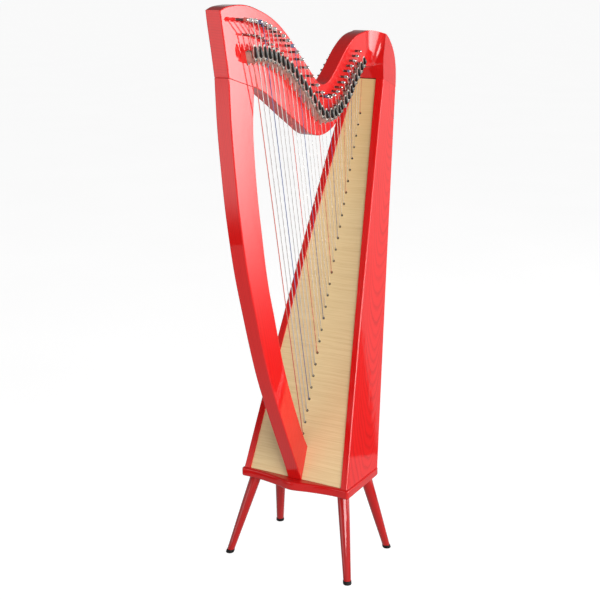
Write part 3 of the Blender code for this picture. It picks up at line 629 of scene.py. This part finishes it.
def build_soundboard():
    columns = [math.sin(0.5 * math.pi * (k / 10.0 - 1.0)) for k in range(21)]

    def section(t):
        edge = half_width(t) - PANEL - GAP
        front = [(u * edge, dish(u * edge, t)) for u in columns]
        return front + [(x, off - BOARD) for x, off in reversed(front)]

    bm = bmesh.new()
    strand(bm, section, 40, BOX_TOP - 0.0015)
    piece("sounding_board", bm, PALE, ("soundboard",), slot="soundboard_wood")
    bm = bmesh.new()
    for number in range(1, STRINGS + 1):
        inner = string_radius(number) + 0.00025
        outer = 0.0027 + 0.0005 * (number / STRINGS)
        profile = ((-0.0004, inner), (-0.0004, outer), (0.0003, outer), (0.0008, outer - 0.0005),
                   (0.0009, 0.5 * (inner + outer)), (0.0006, inner + 0.0001))
        lathe(bm, string_hole(number), OUT, profile, 20, hollow=True)
    piece("string_eyelets", bm, DARK_EYE, slot="soundboard_wood", angle=60.0)


SOUND_HOLES = ((0.085, 0.046, 0.030), (0.300, 0.043, 0.027), (0.505, 0.038, 0.022), (0.695, 0.030, 0.016))


def build_back():
    def section(t):
        edge = half_width(t) - PANEL - GAP
        low = -depth(t) + 0.0010
        return [(-edge, low + BACK), (edge, low + BACK), (edge, low), (-edge, low)]

    bm = bmesh.new()
    strand(bm, section, 16, BOX_TOP - 0.0010)
    back = solid("back_board", bm, RED_BACK)
    tools = []
    for t, half_long, half_wide in SOUND_HOLES:
        bm = bmesh.new()
        loft(bm, [[on_box(half_wide * math.sin(a), t + half_long * math.cos(a), off)
                   for a in full_turn(72)] for off in (-depth(t) - 0.020, -depth(t) + 0.030)])
        tools.append(solid("hole", bm))
    cut(back, tools)
    dress(back, ("back_panel",), bevel=0.0012, segments=3)


# ------------------------ shoulder
JOINT_Y, NOTCH_Y, NOTCH_Z = 0.2335, 0.2745, 1.2155
FLARE_Z, SWEEP_X = 1.2400, 0.0262
CROWN = ((0.2460, 1.3026), (0.2620, 1.3020), (0.2780, 1.2995), (0.2920, 1.2960), (0.3060, 1.2900),
         (0.3170, 1.2820), (0.3265, 1.2710), (0.3355, 1.2580), (0.3425, 1.2420), (0.3462, 1.2240),
         (0.3468, 1.2050), (0.3440, 1.1830))


def build_shoulder():
    front = on_box(0.0, BOX_TOP, RIM_RAISE)
    back = on_box(0.0, BOX_TOP, -depth(BOX_TOP))
    outline = [Vector((front.y, front.z)), Vector((NOTCH_Y, NOTCH_Z)), Vector((JOINT_Y, NOTCH_Z)),
               Vector((JOINT_Y, 1.3020))]
    outline += flow(CROWN + ((back.y, back.z),), 3)
    bm = bmesh.new()
    rings = []
    for sign in (-1.0, 1.0):
        places = [Vector((0.0, p.x, p.y)) for p in outline]
        rings.append([p + X * sign * half_width((p - BOARD_ORIGIN).dot(ALONG)) for p in places])
    loft(bm, rings)
    body = solid("shoulder_block", bm, RED_SHOULDER)
    keys = ((NOTCH_Z - 0.030, 0.04), (NOTCH_Z, 0.06), (FLARE_Z, 0.50), (1.2650, 0.88), (1.3120, 1.06))
    tools = []
    for sign in (-1.0, 1.0):
        rings = []
        for z, grow in flow(keys, 4):
            edge = NOTCH_Y + (z - NOTCH_Z) * 0.20 + max(0.0, z - FLARE_Z) * 0.24
            reach_x, reach_y = SWEEP_X * grow, (edge - JOINT_Y) * min(0.995, grow)
            ring = [Vector((sign * HALF_NECK, JOINT_Y - 0.020, z))]
            ring += [Vector((sign * (HALF_NECK + reach_x * (1.0 - math.cos(a))),
                             edge - reach_y * (1.0 - math.sin(a)), z)) for a in quarter(24)]
            ring += [Vector((sign * 0.080, edge, z)), Vector((sign * 0.080, JOINT_Y - 0.020, z))]
            rings.append(ring)
        bm = bmesh.new()
        loft(bm, rings)
        tools.append(solid("sweep", bm))
    cut(body, tools)
    dress(body, ("shoulder",), angle=35.0, bevel=0.0014, segments=3, weighted=True)


# ------------------------ neck and pillar
NECK_TOP = (
    (-0.4015, 1.3704), (-0.3766, 1.3772), (-0.3283, 1.3799), (-0.2902, 1.3758),
    (-0.2513, 1.3658), (-0.2113, 1.3520), (-0.1703, 1.3315), (-0.1282, 1.3020),
    (-0.0848, 1.2645), (-0.0399, 1.2268), (-0.0160, 1.2060), (0.0064, 1.1923),
    (0.0280, 1.1885), (0.0514, 1.1960), (0.0777, 1.2153), (0.1017, 1.2371),
    (0.1261, 1.2592), (0.1507, 1.2768), (0.1757, 1.2898), (0.2012, 1.2974), (0.2332, 1.3018),
)
NECK_LOW = (
    (0.2332, 1.2158), (0.2100, 1.2035), (0.1936, 1.1878), (0.1784, 1.1744),
    (0.1534, 1.1474), (0.1285, 1.1260), (0.1030, 1.1040), (0.0795, 1.0871),
    (0.0552, 1.0766), (0.0312, 1.0709), (0.0074, 1.0700), (-0.0114, 1.0726),
    (-0.0393, 1.0804), (-0.0848, 1.1056), (-0.1289, 1.1305), (-0.1717, 1.1558),
    (-0.2133, 1.1793), (-0.2336, 1.1897), (-0.2756, 1.2053),
)
NECK_FRONT = (
    (-0.3730, 1.2317), (-0.3775, 1.2540), (-0.3835, 1.2840), (-0.3905, 1.3150),
    (-0.3970, 1.3450), (-0.4015, 1.3704),
)
PILLAR_FRONT = (
    (-0.3730, 1.2314), (-0.3704, 1.1867), (-0.3677, 1.1448), (-0.3630, 1.0980),
    (-0.3551, 1.0374), (-0.3416, 0.9488), (-0.3250, 0.8660), (-0.3048, 0.7830),
    (-0.2760, 0.6900), (-0.2498, 0.6094), (-0.2190, 0.5250), (-0.1790, 0.4356),
    (-0.1392, 0.3530), (-0.1165, 0.3077), (-0.0950, 0.2640), (-0.0800, 0.2296),
)
PILLAR_BACK = (
    (-0.0562, 0.3225), (-0.0752, 0.3570), (-0.0966, 0.4030),
    (-0.1199, 0.4530), (-0.1427, 0.5067), (-0.1628, 0.5600), (-0.1815, 0.6190),
    (-0.1990, 0.6780), (-0.2183, 0.7391), (-0.2345, 0.8055), (-0.2482, 0.8769),
    (-0.2616, 0.9469), (-0.2715, 1.0152), (-0.2785, 1.0816), (-0.2803, 1.1300),
    (-0.2756, 1.2050),
)
BRIDGE_KEYS = {
    1: (0.1882, 1.2280), 3: (0.1600, 1.2046), 5: (0.1320, 1.1803), 7: (0.1045, 1.1555),
    9: (0.0743, 1.1363), 11: (0.0395, 1.1250), 13: (0.0020, 1.1280), 15: (-0.0400, 1.1545),
    17: (-0.0830, 1.1935), 19: (-0.1229, 1.2291), 21: (-0.1641, 1.2617),
    23: (-0.2033, 1.2833), 25: (-0.2418, 1.3017), 27: (-0.2787, 1.3135), 29: (-0.3190, 1.3183),
}
TUNING_KEYS = {
    1: (0.1782, 1.2561), 3: (0.1500, 1.2350), 5: (0.1214, 1.2125), 7: (0.0925, 1.1880),
    9: (0.0641, 1.1690), 11: (0.0270, 1.1590), 13: (-0.0110, 1.1730), 15: (-0.0600, 1.2140),
    17: (-0.1070, 1.2545), 19: (-0.1490, 1.2864), 21: (-0.1895, 1.3100),
    23: (-0.2276, 1.3268), 25: (-0.2665, 1.3395), 27: (-0.3055, 1.3468), 29: (-0.3434, 1.3501),
}
EDGE_R, FINE_R = 0.0024, 0.0006
BRIDGE_R, TUNING_R = 0.0016, 0.0026
STEM_R, STEM_X = 0.0024, 0.0328
STRING_X, BRIDGE_TIP, TAIL_X = 0.0348, 0.0364, -0.0455
EYE_R, HOLE_R, AXLE_R = 0.0030, 0.0015, 0.00105
EAR_IN, EAR_OUT, EAR_FLOOR, EAR_FOOT, LEVER_HALF = 0.0032, 0.0042, 0.0016, 0.0108, 0.0028


def keyed(keys, number):
    """Smooth value between numbered key points, as in the CAD."""
    numbers = sorted(keys)
    k = max(0, sum(n < number for n in numbers) - 1)
    part = (number - numbers[k]) / (numbers[k + 1] - numbers[k])
    p = between([Vector(keys[n]) for n in numbers], k, part)
    return Vector((0.0, p.x, p.y))


def bridge_pin(number):
    return keyed(BRIDGE_KEYS, number)


def tuning_pin(number):
    return keyed(TUNING_KEYS, number)


def tuning_tip(number):
    return 0.0360 + 0.0130 * (number - 1) / (STRINGS - 1)


def at(x, point):
    return Vector((x, point.y, point.z))


def nicked(points, index):
    """Replace a corner of a 2-D loop by a tiny chamfer."""
    before, here, after = points[index - 1], points[index], points[(index + 1) % len(points)]
    a = here + (before - here).normalized() * FINE_R
    b = here + (after - here).normalized() * FINE_R
    return points[:index] + [a, b] + points[index + 1:]


def build_slab(name, node, mat, outline, joints):
    """The neck or pillar, with rounded side edges and nicks at its first and last corner.

    The edges numbered in joints, and the last one, meet other wood and get a tiny round.
    """
    points = nicked(nicked(outline, len(outline) - 1), 0)
    fine = [k + 1 for k in joints] + [len(points) - 1]
    rings = []
    for sign, angles in ((-1.0, quarter(4)[::-1]), (1.0, quarter(4))):
        for a in angles:
            drop = 1.0 - math.cos(a)
            amounts = [(FINE_R if k in fine else EDGE_R) * drop for k in range(len(points))]
            x = sign * (HALF_NECK - EDGE_R * (1.0 - math.sin(a)))
            rings.append([Vector((x, p.x, p.y)) for p in inset_ring(points, amounts)])
    bm = bmesh.new()
    loft(bm, rings)
    piece(name, bm, mat, (node,), weighted=True)


def build_neck():
    front, top, low = flow(NECK_FRONT, 3), flow(NECK_TOP, 4), flow(NECK_LOW, 4)
    at_shoulder = len(front) + len(top) - 2
    build_slab("neck_wood", "neck", RED_NECK, front + top[1:] + low, (at_shoulder,))


def build_pillar():
    front, back = flow(PILLAR_FRONT, 4), flow(PILLAR_BACK, 4)
    foot, heel = on_box(0.0, floor_t(0.0005), 0.0005), on_box(0.0, -0.0270, 0.0005)
    outline = front + [Vector((foot.y, foot.z)), Vector((heel.y, heel.z))] + back
    build_slab("pillar_wood", "pillar", RED_PILLAR, outline, (len(front) - 1, len(front)))


def build_pins():
    bm = bmesh.new()
    for number in range(1, STRINGS + 1):
        peg = tuning_pin(number)
        tip = tuning_tip(number) - HALF_NECK
        r = TUNING_R
        profile = [(-0.0006, r + 0.0004), (0.0002, r + 0.0004), (0.0005, r)]
        ridge = 0.0012
        while ridge < tip - 0.0120:      # fine thread where the pin leaves the wood
            profile += [(ridge, r - 0.00012), (ridge + 0.00035, r)]
            ridge += 0.0007
        profile += [(tip - 0.0112, r), (tip - 0.0022, r - 0.00005)]
        lathe(bm, at(HALF_NECK, peg), X, profile, 20)
        dome = [(tip - 0.0023 + 0.0023 * math.sin(a), 0.0003 + (r - 0.0002) * math.cos(a))
                for a in quarter(6)]
        lathe(bm, at(HALF_NECK, peg), X, dome, 20, slot=1)
        tail = -TAIL_X - HALF_NECK
        lathe(bm, at(-HALF_NECK, peg), -X, ((-0.0006, 0.0034), (0.0040, 0.0033), (0.0046, 0.0030),
                                            (0.0052, 0.0027)), 20)
        square = ((0.0045, 0.0033), (tail - 0.0014, 0.0029), (tail - 0.0004, 0.0025), (tail, 0.0018))
        lathe(bm, at(-HALF_NECK, peg), -X, square, 4, math.pi / 4.0)
    piece("tuning_pins", bm, (NICKEL, BRIGHT), slot="stud_metal", angle=30.0)

    bm = bmesh.new()
    for number in range(1, STRINGS + 1):
        pin, high = bridge_pin(number), BRIDGE_TIP - HALF_NECK
        rest = STRING_X - HALF_NECK
        wide = string_radius(number) + 0.0003
        r = BRIDGE_R
        step = STEM_X - HALF_NECK
        profile = ((-0.0006, STEM_R + 0.0006), (0.0006, STEM_R + 0.0006), (0.0009, STEM_R + 0.0003),
                   (0.0010, STEM_R), (step - 0.0004, STEM_R), (step, r + 0.0003), (step + 0.0002, r - 0.0001),
                   (min(rest + wide, high - 0.0004), r - 0.0001), (high - 0.0002, r + 0.0002),
                   (high, r - 0.0002))
        lathe(bm, at(HALF_NECK, pin), X, profile, 16)
        dome = [(high - 0.0004 + 0.0004 * math.sin(a), r * math.cos(a) + 0.0002) for a in quarter(4)]
        lathe(bm, at(HALF_NECK, pin), X, dome, 16, slot=1)
    piece("bridge_pins", bm, (DULL, BRIGHT), slot="stud_metal", angle=30.0)


# ------------------------ strings
RIB_HALF_WIDE, RIB_HALF_THICK, RIB_PAST_LOW, RIB_PAST_TOP = 0.0110, 0.0035, 0.016, 0.020
TURN_STEPS = 18


def string_stations(number):
    """Knot, lip of the soundboard, bridge pin, and where the winding on the pin starts."""
    radius = string_radius(number)
    hole, pin, peg = string_hole(number), bridge_pin(number), tuning_pin(number)
    first, second = (peg - pin).normalized(), (hole - pin).normalized()
    bend = first + second
    bend = bend.normalized() if bend.length > 0.02 else -Y
    at_pin = pin - bend * (BRIDGE_R + radius + GAP)
    at_pin.x = STRING_X
    side = Vector((0.0, first.z, -first.y)).normalized()
    if side.dot(bend) > 0.0:
        side = -side
    start = hole - OUT * (BOARD + 0.0095)
    lip = hole + OUT * (0.0010 + radius)
    return start, lip, at_pin, peg, side, first


def string_kind(number):
    """0 clear, 1 red, 2 dark blue; the lowest strings are wound with wire: 3, 4, 5."""
    step = (number - 1) % 7
    kind = 1 if step == 0 else 2 if step == 4 else 0
    return kind + 3 if number > 22 else kind


def build_strings():
    bm = bmesh.new()
    low, high = -RIB_PAST_LOW, (STRINGS - 1) * PITCH + RIB_PAST_TOP
    block(bm, on_box(0.0, 0.5 * (low + high), -BOARD - GAP - RIB_HALF_THICK),
          (RIB_HALF_WIDE, 0.5 * (high - low), RIB_HALF_THICK), (X, ALONG, OUT))
    piece("string_rib", bm, INNER, slot="inner_wood", bevel=0.0008, weighted=True)

    looks = (NYLON, NYLON_RED, NYLON_BLUE, WOUND, WOUND_RED, WOUND_BLUE)
    cords, knots = bmesh.new(), bmesh.new()
    for number in range(1, STRINGS + 1):
        start, lip, at_pin, peg, side, first = string_stations(number)
        r = string_radius(number)
        kind = string_kind(number)
        path = [start, lip - OUT * 0.0006, lip + (at_pin - lip).normalized() * 0.0010]
        path += [path[-1].lerp(at_pin, k / 8.0) for k in range(1, 8)]
        tip = tuning_tip(number)
        around = TUNING_R + r + 0.00005
        wraps = 3.5 if r < 0.0008 else 2.5
        width = min(0.0075, wraps * 2.1 * r)
        arrive = at(tip - 0.0062 + 0.5 * width, peg) + side * around
        down, up = (path[-1] - at_pin).normalized(), (arrive - at_pin).normalized()
        path += [at_pin + down * 0.0012, at_pin, at_pin + up * 0.0012]
        path += [at_pin.lerp(arrive, k / 3.0) for k in range(1, 3)]
        steps = int(wraps * TURN_STEPS)
        other = X.cross(side)
        other = other if other.dot(first) > 0.0 else -other
        for k in range(steps + 1):
            a = 2.0 * math.pi * k / TURN_STEPS
            x = arrive.x - width * k / steps
            path.append(at(x, peg) + (side * math.cos(a) + other * math.sin(a)) * around)
        a = 2.0 * math.pi * (steps + 1) / TURN_STEPS
        last = side * math.cos(a) + other * math.sin(a)
        x = arrive.x - width - 0.5 * r
        path += [at(x, peg) + last * around * k for k in (0.75, 0.2, -0.6, -1.0, -1.35)]
        sweep(cords, path, r, 8, kind)
        for a in full_turn(3):       # the knot under the rib
            centre = start + (X * math.cos(a) + ALONG * math.sin(a)) * r * 1.3
            lathe(knots, centre - OUT * r * 1.6, OUT, ((0.0, r * 0.5), (r * 0.5, r * 1.5), (r * 1.6, r * 1.9),
                                                       (r * 2.7, r * 1.5), (r * 3.2, r * 0.5)), 10)
    piece("string_cords", cords, looks, ("strings",), slot="string_material", angle=70.0)
    piece("string_knots", knots, NYLON, slot="string_material", angle=70.0)


# ------------------------ levers and their brackets
def lever_frames():
    """(number, pivot, up along the string, hinge axis), in the profiles' own place."""
    made = []
    for joint in frame["joints"]:
        number = int(joint["child"].split("_")[1])
        axis = Vector(joint["axis"]).normalized()
        pivot = Vector(joint["pos_m"]) - SHIFT
        made.append((number, pivot, X.cross(axis).normalized(), axis))
    return sorted(made, key=lambda item: item[0])


def plate(bm, outline, start, side, out, along, thick):
    """A flat plate: outline in (side, out) coordinates, thick in the third direction."""
    ring = [start + side * a + out * b for a, b in outline]
    loft(bm, [ring, [p + along * thick for p in ring]])


def ear_outline(number, pivot):
    """Side view of a bracket, as (up the string, out of the neck) from under its pivot."""
    eye = pivot.x - HALF_NECK
    top = min(0.0200, (bridge_pin(number) - at(0.0, pivot)).length - 0.0034)
    turn = [math.radians(d) for d in range(195, -16, -15)]
    ring = [(-EAR_FOOT, -0.0002), (-EAR_FOOT - 0.0002, 0.0010), (-EAR_FOOT + 0.0002, EAR_FLOOR),
            (-0.0066, EAR_FLOOR + 0.0006)]
    ring += [(0.0030 * math.cos(a), eye - 0.0007 + 0.0028 * math.sin(a)) for a in turn]
    ring += [(min(0.0060, top * 0.6), 0.0136), (top - 0.0022, 0.0130), (top - 0.0009, 0.0123),
             (top - 0.0002, 0.0112), (top, 0.0098), (top, -0.0002)]
    return ring


def build_brackets():
    bm = bmesh.new()
    for number, pivot, up, axis in lever_frames():
        root = at(HALF_NECK, pivot)
        outline = ear_outline(number, pivot)
        for start in (-EAR_OUT, EAR_IN):
            plate(bm, outline, root + axis * start, up, X, axis, EAR_OUT - EAR_IN)
        low, high = -EAR_FOOT, outline[-1][0] - 0.0004
        block(bm, root + up * 0.5 * (low + high) + X * 0.5 * EAR_FLOOR,
              (EAR_IN + 0.0002, 0.5 * (high - low), 0.5 * EAR_FLOOR), (axis, up, X), 1)
        for sign in (-1.0, 1.0):               # riveted ends of the axle
            lathe(bm, pivot + axis * sign * EAR_OUT, axis * sign,
                  ((-0.0002, 0.0015), (0.0002, 0.0015), (0.0004, 0.0012), (0.0005, 0.0004)), 16, slot=1)
        lathe(bm, pivot - axis * EAR_OUT, axis, ((0.0, AXLE_R), (2.0 * EAR_OUT, AXLE_R)), 12, slot=1)
        screw = root - up * 0.0078 + X * (EAR_FLOOR - 0.0002)
        lathe(bm, screw, X, ((0.0, 0.0021), (0.0005, 0.0020), (0.0009, 0.0016), (0.0010, 0.0008),
                             (0.0006, 0.0007)), 16, slot=1)
    piece("lever_brackets", bm, (SATIN, NICKEL), slot="lever_metal", angle=30.0)


def build_levers():
    for number, pivot, up, axis in lever_frames():
        long = 0.0260 + 0.0090 * (number - 1) / (STRINGS - 1)

        def spot(b, c, a):
            return pivot + up * b + X * c + axis * a

        inner = flow(((0.0040, -0.0012), (long * 0.28, -0.0013), (long * 0.50, -0.0006),
                      (long * 0.80, 0.0008), (long, 0.0028)), 4)
        outer = flow(((long * 0.88, 0.0024), (long * 0.86, 0.0040), (long * 0.77, 0.0058),
                      (long * 0.60, 0.0074), (long * 0.38, 0.0078), (0.0080, 0.0070), (0.0050, 0.0050),
                      (0.0040, 0.0030)), 4)
        bm = bmesh.new()
        # the metal arm: an eye round the axle, then a strip along the side next to the string
        eye = [(EYE_R * math.cos(a), EYE_R * math.sin(a))
               for a in (math.radians(d) for d in range(48, 331, 12))]
        strip = [(p.x, p.y) for p in inner[1:]]
        strip += [(p.x - 0.0006, p.y + 0.0016) for p in reversed(inner[2:-1])]
        arm = eye + strip + [(0.0050, 0.0012)]
        loops = []
        for a in (-LEVER_HALF, LEVER_HALF):
            rim = [bm.verts.new(spot(b, c, a)) for b, c in arm]
            hole = [bm.verts.new(spot(HOLE_R * math.cos(t), HOLE_R * math.sin(t), a)) for t in full_turn(16)]
            # the face round the hole, in two parts that meet at its 45 and 225 degree points
            cap(bm, rim[:16] + hole[10:1:-1])
            cap(bm, rim[15:] + rim[:1] + hole[2::-1] + hole[:9:-1])
            loops.append((rim, hole))
        for pair in zip(*loops):
            bands(bm, pair)
        # the dark grip fills the leaf outside the strip, with rounded side edges
        leaf = [Vector((p.x, p.y + 0.0012)) for p in inner[3:-3]] + [Vector((p.x, p.y)) for p in outer[:-1]]
        rings = []
        for a in (-0.0024, -0.0022, -0.0018, 0.0018, 0.0022, 0.0024):
            shrink = {0.0024: 0.0004, 0.0022: 0.0001, 0.0018: 0.0}[abs(a)]
            rings.append([spot(p.x, p.y, a) for p in inset_ring(leaf, [shrink] * len(leaf))])
        loft(bm, rings, slot=1)
        for face in bm.faces:              # the eye is dark as well, only the strip is bright
            if (face.calc_center_median() - pivot).length < 0.0034:
                face.material_index = 1
        name = "lever_%02d" % number
        piece(name.replace("lever", "sharping_lever"), bm, (SILVER, BLACK), (name,), body=name,
              slot="lever_metal", angle=42.0)


def finish_nodes():
    """CAD solids that stay as they are get their real material."""
    for name, node in frame["nodes"].items():
        if name.startswith(("back_brace", "bottom_block", "lining", "leg_stud")):
            for entry in node.material_slots:
                entry.material = STEEL if name.startswith("leg_stud") else INNER


# ------------------------ studio
def area_light(name, where, aim, size, radiance):
    data = bpy.data.lights.new(name, "AREA")
    data.shape, data.size, data.size_y = "RECTANGLE", size[0], size[1]
    data.energy = radiance * math.pi * size[0] * size[1]
    ob = link(name, data)
    ob.location = where
    ob.rotation_euler = (Vector(aim) - Vector(where)).to_track_quat("-Z", "Y").to_euler()
    ob.visible_camera = False


def bearing(degrees, distance, height):
    """A place round the harp: degrees from +Y towards +X."""
    a = math.radians(degrees)
    return (distance * math.sin(a), distance * math.cos(a), height)


def stage_piece(name, bm, mat):
    ob = mesh_object(name, bm, mat)
    return ob


CARD_DISTANCE, SCREEN_DISTANCE, FLOOR_REACH = 3.5, 60.0, 160.0
SCREEN_HEIGHTS = (-1.0, 36.0)
CAMERA_AT, CAMERA_DOWN, CAMERA_TURN, LENS = (1.5157, -2.5713, 1.4608), 0.2586, 0.537, 76.51


def build_card(name, level, angles, heights):
    """A curved white card round the harp, lit so that it fades out at its edges.

    angles and heights hold where it starts, where it is fully lit from and to, and where it ends.
    """
    mat, tree, shader, place = new_material(name)
    spot = put(tree, "SeparateXYZ", {0: place})
    middle = math.radians(0.5 * (angles[0] + angles[3]))
    ahead, aside = ((math.sin(a), math.cos(a)) for a in (middle, middle + 0.5 * math.pi))

    def along(direction):
        return calc(tree, "MULTIPLY_ADD", spot.outputs[0], direction[0],
                    calc(tree, "MULTIPLY", spot.outputs[1], direction[1]))

    angle = calc(tree, "MULTIPLY", calc(tree, "ARCTAN2", along(aside), along(ahead)), 180.0 / math.pi)
    angle = calc(tree, "ADD", angle, math.degrees(middle))

    glow = level
    for value, (start, full, fade, end) in ((angle, angles), (spot.outputs[2], heights)):
        for low, high in ((start, full), (end, fade)):
            glow = calc(tree, "MULTIPLY", glow, span(tree, value, low, high, ease="SMOOTHERSTEP"))
    shine(tree, shader, glow)
    bm = bmesh.new()
    degrees = [angles[0] + (angles[3] - angles[0]) * k / 24.0 for k in range(25)]
    rises = [heights[0] + (heights[3] - heights[0]) * k / 12.0 for k in range(13)]
    rows = vertex_rows(bm, [[bearing(d, CARD_DISTANCE, z) for d in degrees] for z in rises])
    bands(bm, rows, closed=False)
    card = stage_piece(name, bm, mat)
    card.visible_camera = card.visible_shadow = False


def build_backdrop():
    """A white screen far behind the harp on all sides: it is seen, and lights nothing."""
    mat, tree, shader, place = new_material("studio_backdrop")
    shine(tree, shader, span(tree, noise(tree, place, 0.05, 2.0), 0.3, 0.7, 0.98, 1.0))
    bm = bmesh.new()
    bands(bm, vertex_rows(bm, [level_ring(Z * z, SCREEN_DISTANCE, 64) for z in SCREEN_HEIGHTS]))
    screen = stage_piece("studio_backdrop", bm, mat)
    screen.visible_glossy = screen.visible_diffuse = screen.visible_shadow = False
    screen.visible_transmission = False


def build_studio():
    bm = bmesh.new()
    bmesh.ops.create_grid(bm, x_segments=8, y_segments=8, size=FLOOR_REACH)
    mat, tree, shader, place = new_material("studio_floor")
    tone = span(tree, noise(tree, place, 1.5, 2.0), 0.3, 0.7, 0.26, 0.30)
    feed(tree, shader, {
        "Base Color": put(tree, "CombineColor", {0: tone, 1: tone, 2: tone}).outputs[0], "Roughness": 0.6,
        "Specular IOR Level": 0.0, "Emission Color": rgb(1.0, 1.0, 1.0), "Emission Strength": 0.90,
    })
    floor = stage_piece("studio_floor", bm, mat)
    floor.location = (0.0, 0.0, -0.0002)
    # the harp is lit as in a studio with a darker floor
    floor.visible_glossy = floor.visible_diffuse = False
    build_backdrop()

    world = bpy.data.worlds.new("studio")
    bpy.context.scene.world = world
    world.use_nodes = True
    tree = world.node_tree
    sky = tree.nodes["Background"]
    up = put(tree, "SeparateXYZ", {0: put(tree, "TexCoord").outputs["Generated"]}).outputs[2]
    above = span(tree, up, 0.03, 0.32, 0.70, 0.16)
    level = calc(tree, "MULTIPLY", above, span(tree, up, -0.16, -0.02, 0.62, 1.0))
    sky.inputs["Color"].default_value = rgb(1.0, 1.0, 1.0)
    tree.links.new(level, sky.inputs["Strength"])

    build_card("studio_wall", 6.4, (27.5, 40.5, 60.0, 78.0), (-0.76, 1.14, 1.7, 2.7))
    build_card("front_card", 1.8, (188.0, 202.0, 222.0, 238.0), (-1.2, -0.2, 0.4, 1.2))
    area_light("softbox_front_right", bearing(125.0, 3.6, 1.55), (0.0, 0.0, 1.1), (3.3, 1.5), 9.6)

    camera_data = bpy.data.cameras.new("camera")
    camera_data.sensor_width, camera_data.lens = 36.0, LENS
    camera_data.clip_start, camera_data.clip_end = 0.05, 300.0
    camera = link("camera", camera_data)
    camera.location = CAMERA_AT
    camera.rotation_euler = (0.5 * math.pi - CAMERA_DOWN, 0.0, CAMERA_TURN)
    bpy.context.scene.camera = camera
    bpy.context.scene.view_settings.view_transform = "Standard"


build_base()
build_legs()
build_sides()
build_soundboard()
build_back()
build_shoulder()
build_neck()
build_pillar()
build_pins()
build_strings()
build_brackets()
build_levers()
finish_nodes()
build_studio()
